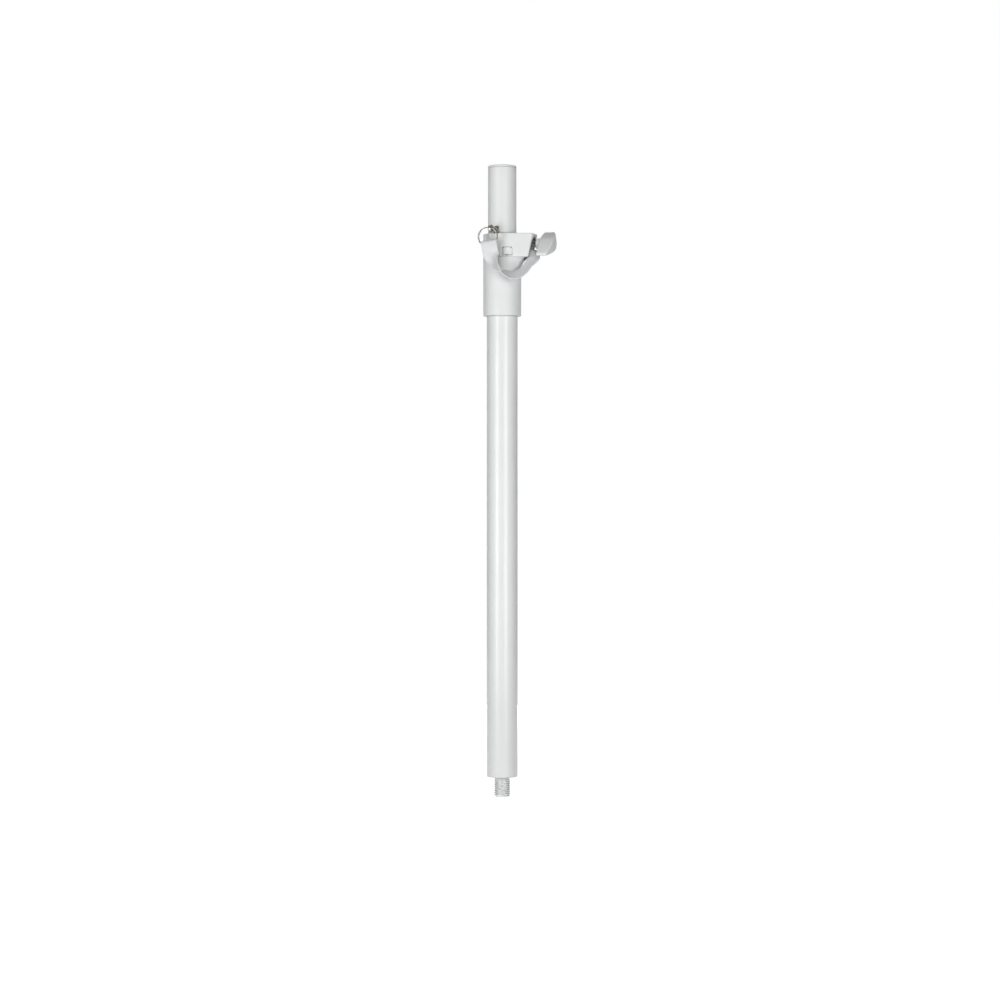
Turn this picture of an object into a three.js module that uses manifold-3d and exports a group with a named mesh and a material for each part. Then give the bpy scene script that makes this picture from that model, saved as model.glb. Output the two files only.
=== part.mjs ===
// A telescopic speaker pole: a 35 mm tube slides in a 38 mm tube that screws onto an M20 socket.
// A moulded clamp sleeve grips the sliding tube with a pressure pad on a wing knob, and a
// locking pin through the tube rests on the sleeve. A strap ties the pin's ring to the clamp.
// Millimetres, +Z up the pole. The origin is on the pole's axis, at the shoulder above the stud.
import * as THREE from 'three';
import { mergeVertices } from 'three/addons/utils/BufferGeometryUtils.js';
import Module from 'manifold-3d';

const wasm = await Module();
wasm.setup();

// Shared clearances and small lengths
const seatGap = 0.3;          // between two pieces that touch or fit in each other
const cutOverrun = 2;         // how far a cutter runs past the face that it cuts
const edgeChamfer = 0.8;      // broken edge on tubes and mouldings
const roundFacets = 48;       // sides of a tube
const middleFacets = 32;      // sides of a hub or a washer
const smallFacets = 16;       // sides of a hole, screw or pin
const pinHoleFacets = 12;
const outlineSteps = 8;       // along a curve of an outline
const bevelSteps = 2;

// Sliding tube and its plastic ends
const slideTubeDiameter = 35;
const slideTubeWall = 1.5;
const slideTubeShown = 84.4;  // above the clamp sleeve when the pole is closed, with its cap
const slideTubeFoot = 60;     // its lower end above the shoulder when the pole is closed
const capCrown = 2.6;
const capSpigotLength = 14;
const capSpigotWall = 2;
const footFlange = 3;
const footSpigotLength = 20;
const footWall = 4.7;
const footPinDiameter = 3;
const footPinRise = 10;       // above the end of the tube

// Fixed tube, its plug and the stud
const baseTubeWall = 1.2;
const plugLength = 30;
const studDiameter = 20;
const studShown = 24.4;
const studChamfer = 1.6;
const studSpare = 2.5;        // stud that stands above its nut
const studSlotWidth = 2.4;
const studSlotDepth = 2.2;
const studSlotTurn = 29;      // degrees, from the front towards the knob
const lockWasherShare = 0.927; // of the fixed tube's bore
const lockWasherThickness = 1.6;
const studNutShare = 0.973;   // from corner to corner, of the fixed tube's bore
const studNutThickness = 10;

// Clamp sleeve and the bracket moulded on it
const sleeveWall = 4.05;      // outside the fixed tube
const sleeveFoot = 566;       // its lower rim above the shoulder
const sleeveLength = 100.6;
const sleeveLip = 3;          // the rim that keeps the guide bush in
const bracketHeight = 29;
const bracketEndWidth = 23.3;
const bracketEndFall = 5.7;   // how far the end leans back at its lower edge
const bracketCorner = 2;
const screwDrop = 12.8;       // from the sleeve's top to the clamp screw's axis
const recessDiameter = 17;
const recessDepth = 4.5;      // below the bracket's end, on the screw's axis
const recessWall = 1.2;       // between the nut and the recess
const corbelDrop = 17;        // how far the bracket's foot blends down the sleeve
const corbelShare = 0.88;     // of the bracket's reach, where the blend meets its foot
const corbelSteps = 7;
const corbelFacets = 24;
const bulgeWidth = 11.6;
const bulgeHeight = 10;
const bulgeRise = 1.4;
const bulgeRadius = 13;
const bulgeAside = 6.2;       // from the pole's axis, along the bracket's face
const bulgeLift = 2.2;        // its lower edge above the bracket's lower edge

// Guide bush between the two tubes
const bushLength = 25;

// Screws that hold the sleeve on the fixed tube, at the back
const sleeveScrewDiameter = 3.6;
const sleeveScrewHeadDiameter = 7;
const sleeveScrewHeadHeight = 2.2;
const sleeveScrewLow = 14;    // above the sleeve's lower rim
const sleeveScrewPitch = 36;
const sleeveScrewCount = 2;

// Pressure pad, clamp screw, nut, washer and knob
const padHeight = 14;
const padWidth = 13;
const padThickness = 3.4;
const padTravel = 3.75;       // three turns of the knob
const padSocketDepth = 1.4;
const padSlotWall = 1.2;      // between the pad's slot and the nut
const clampScrewDiameter = 8;
const screwNoseDiameter = 5.6;
const screwNoseLength = 2;
const clampNutFlats = 13;
const clampNutThickness = 6.5;
const lugWasherDiameter = 13;
const lugWasherThickness = 1.2;
const knobStandoff = 4.05;    // from the bracket's end to the hub, on the axis, when clamped
const hubDiameter = 14;
const hubNose = 1.6;          // cone at the hub's inner end
const hubNoseDiameter = 11;
const hubLength = 5.7;
const wingSpan = 54;
const wingThickness = 16;     // in the middle
const wingTipThickness = 4;
const wingSlope = 0.5;        // how far its inner edge leans inwards to the tips
const wingTipLength = 12.5;   // along the screw, at the tips
const wingCrown = 6;          // how far its outer end rises between the tips
const wingTurn = 56;          // degrees, from upright, far tip up
const knobBoreDepth = 15;

// Locking pin
const pinDiameter = 6.6;
const pinHoleDiameter = 7.4;
const pinHolePitch = 40;
const pinHoleCount = 13;
const pinTurn = 9;            // degrees, from the front, away from the knob
const pinTail = 6;            // beyond the tube, with its cone
const pinCone = 2.2;
const pinFlangeDiameter = 8;
const pinFlangeThickness = 2;
const pinEyeReach = 34.2;     // from the pole's axis to the eye's centre
const pinEyeDiameter = 9.8;
const pinEyeThickness = 3.4;
const pinEyeHole = 6.4;

// Split ring
const ringDiameter = 25;
const ringWire = 1.5;
const ringTurnPitch = 1.95;   // from one turn of the wire to the next
const ringStepAngle = -24;    // degrees, from the top, where the wire steps across
const ringStepShare = 0.06;   // of a turn, from the step to the wire's ends
const ringFacing = -3;        // degrees, from the front, away from the knob
const ringRise = 1.1;         // its wire above the middle of the eye
const ringLean = 18;          // degrees, how far it hangs to the side of the eye
const ringStepsPerTurn = 28;
const ringWireSides = 6;

// Strap
const strapWidth = 18.5;
const strapThickness = 1.5;
const strapLoopRise = 4.3;    // from the ring's wire to the middle of the fold
const strapLoopTurn = 9;      // degrees, how far the loop leans away from the knob
const strapSeamDrop = 8.8;    // from the ring's wire to the seam
const strapTailDrop = 2.5;    // the folded end below the seam
const strapLugWidth = 14.4;
const strapNeckDrop = 6.5;    // where the lug starts, below the screw's axis
const strapFoldSteps = 6;
const strapStepsBetween = 3;  // sections from one station to the next
const strapLugSteps = 5;

// Sizes that follow
const slideTubeRadius = slideTubeDiameter / 2;
const slideTubeBore = slideTubeRadius - slideTubeWall;
const baseTubeBore = slideTubeRadius + seatGap;
const baseTubeRadius = baseTubeBore + baseTubeWall;
const lockWasherRadius = baseTubeBore * lockWasherShare;
const studNutFlats = baseTubeBore * studNutShare * Math.sqrt(3);
const sleeveRadius = baseTubeRadius + seatGap + sleeveWall;
const sleeveDiameter = sleeveRadius * 2;
const sleeveTop = sleeveFoot + sleeveLength;
const bushTop = sleeveTop - sleeveLip - seatGap;
const baseTubeLength = bushTop - bushLength - seatGap;
const capTop = sleeveTop + slideTubeShown;
const slideTubeTop = capTop - capCrown - seatGap;
const bracketFoot = sleeveTop - bracketHeight;
const screwRise = sleeveTop - screwDrop;
const padFace = slideTubeRadius + seatGap;
const padBack = padFace + padThickness;
const padSlotEnd = padBack + padTravel + seatGap;
const nutPocketStart = padSlotEnd + padSlotWall;
const nutPocketLength = clampNutThickness + seatGap + seatGap;
const recessStart = nutPocketStart + nutPocketLength + recessWall;
const bracketEndAtScrew = recessStart + recessDepth;
const bracketReach = bracketEndAtScrew + bracketEndFall * (screwDrop / bracketHeight);
const lugMiddle = recessStart + seatGap + strapThickness / 2;
const washerStart = lugMiddle + strapThickness / 2 + seatGap;
const knobStart = bracketEndAtScrew + knobStandoff;
const pinRise = sleeveTop + seatGap + pinFlangeDiameter / 2;
const ringMiddleRadius = (ringDiameter - ringWire) / 2;
const ringDepth = ringTurnPitch + ringWire;

// Finishes
const finish = (color, roughness, metalness) =>
  new THREE.MeshStandardMaterial({ color, roughness, metalness });
const satinPaint = finish(0xe4e6e5, 0.45, 0.0);
const glossPaint = finish(0xe6e8e7, 0.25, 0.0);
const whitePlastic = finish(0xe2e4e4, 0.6, 0.0);
const guidePlastic = finish(0xd8d9d6, 0.5, 0.0);
const strapPlastic = finish(0xd6d8dc, 0.55, 0.0);
const zincPlate = finish(0xc9cccd, 0.35, 1.0);
const nickelPlate = finish(0xb9b4ac, 0.2, 1.0);

// Merges the shared corners of a closed mesh and hands it over for cutting and joining
function solidOf(geometry) {
  const bare = geometry.clone();
  bare.deleteAttribute('normal');
  bare.deleteAttribute('uv');
  const merged = mergeVertices(bare);
  const at = merged.attributes.position;
  const index = Array.from(merged.index.array);
  const corners = [];
  let volume = 0;
  const a = new THREE.Vector3();
  const b = new THREE.Vector3();
  const c = new THREE.Vector3();
  for (let i = 0; i < index.length; i += 3) {
    const [p, q, r] = index.slice(i, i + 3);
    if (p === q || q === r || r === p) continue;
    corners.push(p, q, r);
    a.fromBufferAttribute(at, p);
    b.fromBufferAttribute(at, q);
    c.fromBufferAttribute(at, r);
    volume += a.dot(b.cross(c));
  }
  if (volume < 0) corners.reverse();
  return new wasm.Manifold(new wasm.Mesh({
    numProp: 3,
    vertProperties: new Float32Array(at.array),
    triVerts: new Uint32Array(corners),
  }));
}

function geometryOf(solid) {
  const cut = solid.getMesh();
  const corners = new Float32Array(cut.vertProperties);
  const geometry = new THREE.BufferGeometry();
  geometry.setAttribute('position', new THREE.BufferAttribute(corners, 3));
  geometry.setIndex(new THREE.BufferAttribute(new Uint32Array(cut.triVerts), 1));
  return geometry;
}

// A named mesh from a finished solid
function piece(name, solid, material) {
  const geometry = geometryOf(solid);
  geometry.computeVertexNormals();
  const mesh = new THREE.Mesh(geometry, material);
  mesh.name = name;
  return mesh;
}

// A turned shape about +Z from [radius, height] points that start and end on the axis or close
function turned(points, facets = roundFacets) {
  const profile = points.map(([radius, height]) => new THREE.Vector2(radius, height));
  return new THREE.LatheGeometry(profile, facets).rotateX(Math.PI / 2);
}

const rod = (radius, from, to, facets = smallFacets) =>
  turned([[0, from], [radius, from], [radius, to], [0, to]], facets);

const tube = (outer, inner, from, to, facets = roundFacets) =>
  turned([[outer, from], [outer, to], [inner, to], [inner, from], [outer, from]], facets);

// Turns a shape made along +Z so that it runs along +X, out of the clamp
const alongScrew = (geometry) => geometry.rotateY(Math.PI / 2);

// A block between two corners
function block(low, high) {
  const size = high.map((value, i) => value - low[i]);
  return new THREE.BoxGeometry(...size).translate(...low.map((value, i) => value + size[i] / 2));
}

// A flat outline carried up from one height to another
function plate(outline, from, to, bevel = 0) {
  const geometry = new THREE.ExtrudeGeometry(outline, {
    depth: to - from - bevel - bevel,
    bevelEnabled: bevel > 0,
    bevelThickness: bevel,
    bevelSize: bevel,
    bevelOffset: -bevel,
    bevelSegments: bevelSteps,
    curveSegments: outlineSteps,
  });
  return geometry.translate(0, 0, from + bevel);
}

function hexOutline(acrossFlats) {
  const radius = acrossFlats / Math.sqrt(3);
  const corner = (i) => new THREE.Vector2(
    radius * Math.cos((i * Math.PI) / 3),
    radius * Math.sin((i * Math.PI) / 3),
  );
  return new THREE.Shape([0, 1, 2, 3, 4, 5].map(corner));
}

// Sliding tube, with a row of pin holes that pass through both walls
function slideTube() {
  let solid = solidOf(tube(slideTubeRadius, slideTubeBore, slideTubeFoot, slideTubeTop));
  for (let hole = 0; hole < pinHoleCount; hole += 1) {
    const drill = rod(pinHoleDiameter / 2, -sleeveRadius, sleeveRadius, pinHoleFacets);
    drill.rotateX(Math.PI / 2).rotateZ(THREE.MathUtils.degToRad(-pinTurn));
    drill.translate(0, 0, pinRise - hole * pinHolePitch);
    solid = solid.subtract(solidOf(drill));
  }
  const crossHole = alongScrew(rod(footPinDiameter / 2 + seatGap, -sleeveRadius, sleeveRadius));
  crossHole.translate(0, 0, slideTubeFoot + footPinRise);
  return solid.subtract(solidOf(crossHole));
}

// Cap with a rounded rim and a hollow spigot
function tubeCap() {
  const rim = capCrown - capCrown / 4;
  const round = [0, 1, 2, 3, 4].map((step) => {
    const angle = (step * Math.PI) / 8;
    return [
      slideTubeRadius - rim + rim * Math.cos(angle),
      capTop - rim + rim * Math.sin(angle),
    ];
  });
  const spigot = slideTubeBore - seatGap;
  return solidOf(turned([
    [0, slideTubeTop + seatGap],
    [spigot - capSpigotWall, slideTubeTop + seatGap],
    [spigot - capSpigotWall, slideTubeTop - capSpigotLength],
    [spigot, slideTubeTop - capSpigotLength],
    [spigot, slideTubeTop + seatGap],
    [slideTubeRadius, slideTubeTop + seatGap],
    ...round,
    [0, capTop],
  ]));
}

// Guide in the lower end of the sliding tube, held by a cross pin
function footGuide() {
  const spigot = slideTubeBore - seatGap;
  const flangeTop = slideTubeFoot - seatGap;
  const guide = solidOf(turned([
    [spigot - footWall, flangeTop - footFlange],
    [slideTubeRadius - edgeChamfer, flangeTop - footFlange],
    [slideTubeRadius, flangeTop - footFlange + edgeChamfer],
    [slideTubeRadius, flangeTop],
    [spigot, flangeTop],
    [spigot, slideTubeFoot + footSpigotLength],
    [spigot - footWall, slideTubeFoot + footSpigotLength],
    [spigot - footWall, flangeTop - footFlange],
  ]));
  const crossHole = alongScrew(rod(footPinDiameter / 2 + seatGap, -sleeveRadius, sleeveRadius));
  crossHole.translate(0, 0, slideTubeFoot + footPinRise);
  return guide.subtract(solidOf(crossHole));
}

function footPin() {
  const half = slideTubeRadius - seatGap;
  const pin = alongScrew(rod(footPinDiameter / 2, -half, half));
  return solidOf(pin.translate(0, 0, slideTubeFoot + footPinRise));
}

// Fixed tube with a broken lower edge and holes for the sleeve's screws
function baseTube() {
  let solid = solidOf(turned([
    [baseTubeRadius - edgeChamfer, 0],
    [baseTubeRadius, edgeChamfer],
    [baseTubeRadius, baseTubeLength],
    [baseTubeBore, baseTubeLength],
    [baseTubeBore, 0],
    [baseTubeRadius - edgeChamfer, 0],
  ]));
  for (let screw = 0; screw < sleeveScrewCount; screw += 1) {
    solid = solid.subtract(solidOf(sleeveScrewHole(screw)));
  }
  return solid;
}

const sleeveScrewHeight = (screw) => sleeveFoot + sleeveScrewLow + screw * sleeveScrewPitch;

function sleeveScrewHole(screw) {
  const hole = rod(sleeveScrewDiameter / 2 + seatGap, 0, sleeveRadius + cutOverrun);
  return hole.rotateX(-Math.PI / 2).translate(0, 0, sleeveScrewHeight(screw));
}

// Pan-head screw, made along +Z from its tip and turned to point at the pole from behind
function sleeveScrew(screw) {
  const tip = slideTubeRadius + seatGap;
  const seat = sleeveRadius + seatGap;
  const head = sleeveScrewHeadDiameter / 2;
  const shape = turned([
    [0, tip],
    [sleeveScrewDiameter / 2, tip],
    [sleeveScrewDiameter / 2, seat],
    [head, seat],
    [head, seat + sleeveScrewHeadHeight / 3],
    [head - sleeveScrewHeadHeight / 2, seat + sleeveScrewHeadHeight],
    [0, seat + sleeveScrewHeadHeight],
  ], smallFacets);
  return solidOf(shape.rotateX(-Math.PI / 2).translate(0, 0, sleeveScrewHeight(screw)));
}

// Turned plug that closes the fixed tube and carries the stud
function basePlug() {
  const outer = baseTubeBore - seatGap;
  const bore = studDiameter / 2 + seatGap;
  return solidOf(tube(outer, bore, 0, plugLength));
}

const lockWasherStart = plugLength + seatGap;
const studNutStart = lockWasherStart + lockWasherThickness + seatGap;
const studTop = studNutStart + studNutThickness + studSpare;

// Stud with chamfered ends and a driver slot in its lower end
function stud() {
  const radius = studDiameter / 2;
  const body = solidOf(turned([
    [0, -studShown],
    [radius - studChamfer, -studShown],
    [radius, -studShown + studChamfer],
    [radius, studTop - studChamfer],
    [radius - studChamfer, studTop],
    [0, studTop],
  ]));
  const slot = block(
    [-studSlotWidth / 2, -studDiameter, -studShown - cutOverrun],
    [studSlotWidth / 2, studDiameter, -studShown + studSlotDepth],
  );
  return body.subtract(solidOf(slot.rotateZ(THREE.MathUtils.degToRad(studSlotTurn))));
}

const lockWasher = () => solidOf(tube(
  lockWasherRadius,
  studDiameter / 2 + seatGap,
  lockWasherStart,
  lockWasherStart + lockWasherThickness,
  roundFacets,
));

function studNut() {
  const nutEnd = studNutStart + studNutThickness;
  const body = solidOf(plate(hexOutline(studNutFlats), studNutStart, nutEnd));
  const bore = rod(studDiameter / 2 + seatGap, 0, studTop + cutOverrun, roundFacets);
  return body.subtract(solidOf(bore));
}

// Bush that fills the step between the tubes, with a window for the pad
function guideBush() {
  const bushFoot = bushTop - bushLength;
  const body = solidOf(tube(baseTubeRadius, slideTubeRadius + seatGap, bushFoot, bushTop));
  return body.subtract(solidOf(padSlot()));
}

function padSlot() {
  const halfWidth = padWidth / 2 + seatGap;
  const halfHeight = padHeight / 2 + seatGap;
  return block(
    [slideTubeBore - cutOverrun, -halfWidth, screwRise - halfHeight],
    [padSlotEnd, halfWidth, screwRise + halfHeight],
  );
}

// Half width of the bracket at a distance from the pole: its sides are tangent to the sleeve
const bracketCornerAngle = Math.atan2(bracketEndWidth / 2, bracketReach);
const bracketCornerReach = Math.hypot(bracketReach, bracketEndWidth / 2);
const bracketTangentAngle = bracketCornerAngle + Math.acos(sleeveRadius / bracketCornerReach);

// The bracket seen from above, drawn in by a wall where a pocket needs it
function bracketOutline(inset, reach) {
  const radius = sleeveRadius - inset;
  const side = (distance) => (radius - distance * Math.cos(bracketTangentAngle))
    / Math.sin(bracketTangentAngle);
  const startX = radius * Math.cos(bracketTangentAngle);
  const startY = radius * Math.sin(bracketTangentAngle);
  const corner = side(reach);
  const outline = new THREE.Shape();
  outline.moveTo(startX, -startY);
  outline.lineTo(reach - bracketCorner, -side(reach - bracketCorner));
  outline.quadraticCurveTo(reach, -corner, reach, bracketCorner - corner);
  outline.lineTo(reach, corner - bracketCorner);
  outline.quadraticCurveTo(reach, corner, reach - bracketCorner, side(reach - bracketCorner));
  outline.lineTo(startX, startY);
  outline.lineTo(0, 0);
  return outline;
}

// Distance from the pole's axis to the bracket's outline, in a direction from the screw's axis
function bracketPolar(angle, reach) {
  const end = reach / Math.cos(angle);
  return Math.min(end, sleeveRadius / Math.cos(Math.abs(angle) - bracketTangentAngle));
}

// Hollow blend from the sleeve up to the bracket's foot: rings of the bracket's outline, drawn in
// along a quarter of an ellipse
function corbel() {
  const positions = [];
  const index = [];
  const reach = bracketReach - bracketEndFall;
  const ring = (share, height) => {
    positions.push(0, 0, height);
    for (let i = 0; i <= corbelFacets; i += 1) {
      const angle = bracketTangentAngle * ((2 * i) / corbelFacets - 1);
      const inner = sleeveRadius - seatGap;
      const radius = inner + share * (bracketPolar(angle, reach) - inner);
      positions.push(radius * Math.cos(angle), radius * Math.sin(angle), height);
    }
  };
  for (let step = 0; step <= corbelSteps; step += 1) {
    const turn = (step / corbelSteps) * (Math.PI / 2);
    const height = bracketFoot + edgeChamfer - corbelDrop * (1 - Math.sin(turn));
    ring(corbelShare * (1 - Math.cos(turn)), height);
  }
  ring(corbelShare, bracketFoot + edgeChamfer + cutOverrun);
  const count = corbelFacets + 2;
  for (let row = 0; row <= corbelSteps; row += 1) {
    for (let i = 0; i < count; i += 1) {
      const a = row * count + i;
      const b = row * count + ((i + 1) % count);
      index.push(a, b, b + count, a, b + count, a + count);
    }
  }
  const top = (corbelSteps + 1) * count;
  for (let i = 1; i < count - 1; i += 1) {
    index.push(0, i + 1, i, top, top + i, top + i + 1);
  }
  const geometry = new THREE.BufferGeometry();
  geometry.setAttribute('position', new THREE.Float32BufferAttribute(positions, 3));
  geometry.setIndex(index);
  return solidOf(geometry);
}

// Low half-round bulge with an arched top on the bracket's front face
function frontBulge() {
  const half = bulgeWidth / 2;
  const arch = new THREE.Shape();
  arch.moveTo(bulgeAside - half, 0);
  arch.lineTo(bulgeAside + half, 0);
  arch.lineTo(bulgeAside + half, bulgeHeight - half / 2);
  arch.quadraticCurveTo(bulgeAside + half, bulgeHeight, bulgeAside, bulgeHeight);
  arch.quadraticCurveTo(bulgeAside - half, bulgeHeight, bulgeAside - half, bulgeHeight - half / 2);
  const prism = solidOf(plate(arch, 0, bulgeRadius).rotateX(Math.PI / 2));
  const barrel = rod(bulgeRadius, 0, bulgeHeight, roundFacets);
  const bulge = prism.intersect(solidOf(barrel.translate(bulgeAside, bulgeRadius - bulgeRise, 0)));
  const shift = new THREE.Matrix4().makeRotationZ(Math.PI / 2 - bracketTangentAngle);
  shift.multiply(new THREE.Matrix4().makeTranslation(0, -sleeveRadius, bracketFoot + bulgeLift));
  return solidOf(geometryOf(bulge).applyMatrix4(shift));
}

// Moulded sleeve: barrel, wedge bracket with a leaning end, bore, lip, nut pocket and passages
function clampSleeve() {
  const barrel = solidOf(turned([
    [0, sleeveFoot],
    [sleeveRadius - edgeChamfer, sleeveFoot],
    [sleeveRadius, sleeveFoot + edgeChamfer],
    [sleeveRadius, sleeveTop - edgeChamfer],
    [sleeveRadius - edgeChamfer, sleeveTop],
    [0, sleeveTop],
  ]));
  const bracketSides = bracketOutline(0, bracketReach);
  let bracket = solidOf(plate(bracketSides, bracketFoot, sleeveTop, edgeChamfer));
  const lean = Math.atan2(bracketEndFall, bracketHeight);
  const endCut = block(
    [0, -sleeveDiameter, -sleeveDiameter],
    [sleeveDiameter, sleeveDiameter, sleeveDiameter],
  );
  endCut.rotateY(lean).translate(bracketEndAtScrew, 0, screwRise);
  bracket = bracket.subtract(solidOf(endCut));

  const boreEnd = sleeveTop - sleeveLip;
  const bore = rod(baseTubeRadius + seatGap, sleeveFoot - cutOverrun, boreEnd, roundFacets);
  const lip = rod(slideTubeRadius + seatGap, sleeveFoot, sleeveTop + cutOverrun, roundFacets);
  const passage = alongScrew(rod(clampScrewDiameter / 2 + seatGap, slideTubeBore, bracketReach));
  const recessEnd = bracketReach + cutOverrun;
  const recess = alongScrew(rod(recessDiameter / 2, recessStart, recessEnd, middleFacets));
  const nutHalf = clampNutFlats / 2 + seatGap;
  const nutPocket = block(
    [nutPocketStart, -nutHalf, bracketFoot - corbelDrop],
    [nutPocketStart + nutPocketLength, nutHalf, screwRise],
  );
  const nutRoof = plate(hexOutline(clampNutFlats + seatGap + seatGap), 0, nutPocketLength);
  alongScrew(nutRoof).translate(nutPocketStart, 0, screwRise);

  const channelHalf = recessDiameter / 2 - seatGap;
  const strapChannel = block(
    [recessStart, -channelHalf, bracketFoot - corbelDrop],
    [recessEnd, channelHalf, screwRise],
  );

  let sleeve = barrel.add(bracket).add(corbel()).add(frontBulge());
  const cuts = [
    bore,
    lip,
    padSlot(),
    nutPocket,
    nutRoof,
    passage.translate(0, 0, screwRise),
    recess.translate(0, 0, screwRise),
    strapChannel,
  ];
  cuts.forEach((cut) => { sleeve = sleeve.subtract(solidOf(cut)); });
  for (let screw = 0; screw < sleeveScrewCount; screw += 1) {
    sleeve = sleeve.subtract(solidOf(sleeveScrewHole(screw)));
  }
  return sleeve;
}

// Everything on the clamp screw is made along +Z from the pole's axis, then laid along +X
function clampNut() {
  const start = nutPocketStart + seatGap;
  const body = solidOf(plate(hexOutline(clampNutFlats), start, start + clampNutThickness));
  return body.subtract(solidOf(rod(clampScrewDiameter / 2 + seatGap, 0, bracketReach)));
}

const screwEnd = knobStart + knobBoreDepth - seatGap;

function clampScrew() {
  const nose = screwNoseDiameter / 2;
  const shank = clampScrewDiameter / 2;
  const tip = padBack - padSocketDepth + seatGap;
  return solidOf(turned([
    [0, tip],
    [nose, tip],
    [nose, tip + screwNoseLength],
    [shank, tip + screwNoseLength + shank - nose],
    [shank, screwEnd],
    [0, screwEnd],
  ], smallFacets));
}

// Washer that keeps the strap's lug in the recess
const lugWasher = () => solidOf(tube(
  lugWasherDiameter / 2,
  clampScrewDiameter / 2 + seatGap,
  washerStart,
  washerStart + lugWasherThickness,
  middleFacets,
));

// Wing knob: a turned hub with a coned nose, and a lens-shaped wing with a crowned outer end
function knob() {
  const hub = hubDiameter / 2;
  const wingStart = knobStart + hubLength;
  const body = solidOf(turned([
    [0, knobStart],
    [hubNoseDiameter / 2, knobStart],
    [hub, knobStart + hubNose],
    [hub, wingStart + wingTipLength / 2],
    [0, wingStart + wingTipLength / 2],
  ], middleFacets));
  const halfSpan = wingSpan / 2;
  const tipStart = wingStart - wingSlope;
  const tipEnd = tipStart + wingTipLength;
  const side = new THREE.Shape();
  side.moveTo(-halfSpan, tipStart);
  side.lineTo(0, wingStart);
  side.lineTo(halfSpan, tipStart);
  side.lineTo(halfSpan, tipEnd);
  side.quadraticCurveTo(0, tipEnd + wingCrown + wingCrown, -halfSpan, tipEnd);
  const broad = plate(side, -wingThickness, wingThickness).rotateX(Math.PI / 2);

  const tip = wingTipThickness / 2;
  const bulge = wingThickness - tip;
  const lens = new THREE.Shape();
  lens.moveTo(-halfSpan, -tip);
  lens.quadraticCurveTo(0, -bulge, halfSpan, -tip);
  lens.lineTo(halfSpan, tip);
  lens.quadraticCurveTo(0, bulge, -halfSpan, tip);
  const column = plate(lens, knobStart, tipEnd + wingCrown + cutOverrun);
  const wing = solidOf(broad).intersect(solidOf(column));
  const boreEnd = knobStart + knobBoreDepth;
  const bore = rod(clampScrewDiameter / 2 + seatGap, knobStart - cutOverrun, boreEnd);
  return body.add(wing).subtract(solidOf(bore));
}

// Pressure pad: hollow face to the tube, socket for the screw's nose behind
function pressurePad() {
  const body = solidOf(block(
    [slideTubeBore, -padWidth / 2, -padHeight / 2],
    [padBack, padWidth / 2, padHeight / 2],
  ));
  const hollow = rod(padFace, -padHeight, padHeight, roundFacets);
  const socketFloor = padBack - padSocketDepth;
  const socketRadius = screwNoseDiameter / 2 + seatGap;
  const socket = alongScrew(rod(socketRadius, socketFloor, padBack + cutOverrun));
  return body.subtract(solidOf(hollow)).subtract(solidOf(socket));
}

// Locking pin, made along +Z from its tail to the eye, with the eye's hole along +X
function lockingPin() {
  const radius = pinDiameter / 2;
  const tail = -slideTubeRadius - pinTail;
  const flange = slideTubeRadius + seatGap;
  const body = solidOf(turned([
    [0, tail],
    [radius - pinCone / 2, tail],
    [radius, tail + pinCone],
    [radius, flange],
    [pinFlangeDiameter / 2, flange],
    [pinFlangeDiameter / 2, flange + pinFlangeThickness],
    [radius, flange + pinFlangeThickness],
    [radius, pinEyeReach],
    [0, pinEyeReach],
  ], smallFacets));
  const half = pinEyeThickness / 2;
  const disc = alongScrew(rod(pinEyeDiameter / 2, -half, half, middleFacets));
  const hole = alongScrew(rod(pinEyeHole / 2, -pinEyeDiameter, pinEyeDiameter, smallFacets));
  const eye = solidOf(disc).subtract(solidOf(hole));
  const hollow = solidOf(hole.translate(0, 0, pinEyeReach));
  return body.add(solidOf(geometryOf(eye).translate(0, 0, pinEyeReach))).subtract(hollow);
}

// The split ring's wire: its first turn lies in one layer, steps across beside its own ends, and
// its second turn lies in the other layer. Turn 0 is the place of the step.
function ringPoint(turn, radius, lift) {
  const angle = turn * 2 * Math.PI + THREE.MathUtils.degToRad(ringStepAngle);
  const across = THREE.MathUtils.smoothstep(turn, 1 - ringStepShare, 1 + ringStepShare);
  const layer = ringTurnPitch * (across - 1 / 2);
  return [radius * Math.sin(angle), layer + lift, radius * Math.cos(angle)];
}

// Split ring: one wire wound twice, flat in X and Z, with its middle at the origin
function splitRing() {
  const steps = 2 * ringStepsPerTurn;
  const half = ringWire / 2;
  const positions = [];
  const index = [];
  for (let step = 0; step <= steps; step += 1) {
    const turn = ringStepShare + (step / steps) * 2 * (1 - ringStepShare);
    for (let side = 0; side < ringWireSides; side += 1) {
      const around = (side * Math.PI * 2) / ringWireSides;
      const radius = ringMiddleRadius + half * Math.cos(around);
      positions.push(...ringPoint(turn, radius, half * Math.sin(around)));
    }
  }
  for (let step = 0; step < steps; step += 1) {
    for (let side = 0; side < ringWireSides; side += 1) {
      const next = (side + 1) % ringWireSides;
      const a = step * ringWireSides + side;
      const b = step * ringWireSides + next;
      index.push(a, b, a + ringWireSides, b, b + ringWireSides, a + ringWireSides);
    }
  }
  for (let side = 1; side < ringWireSides - 1; side += 1) {
    const last = steps * ringWireSides;
    index.push(0, side + 1, side, last, last + side, last + side + 1);
  }
  const geometry = new THREE.BufferGeometry();
  geometry.setAttribute('position', new THREE.Float32BufferAttribute(positions, 3));
  geometry.setIndex(index);
  return solidOf(geometry);
}

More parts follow.
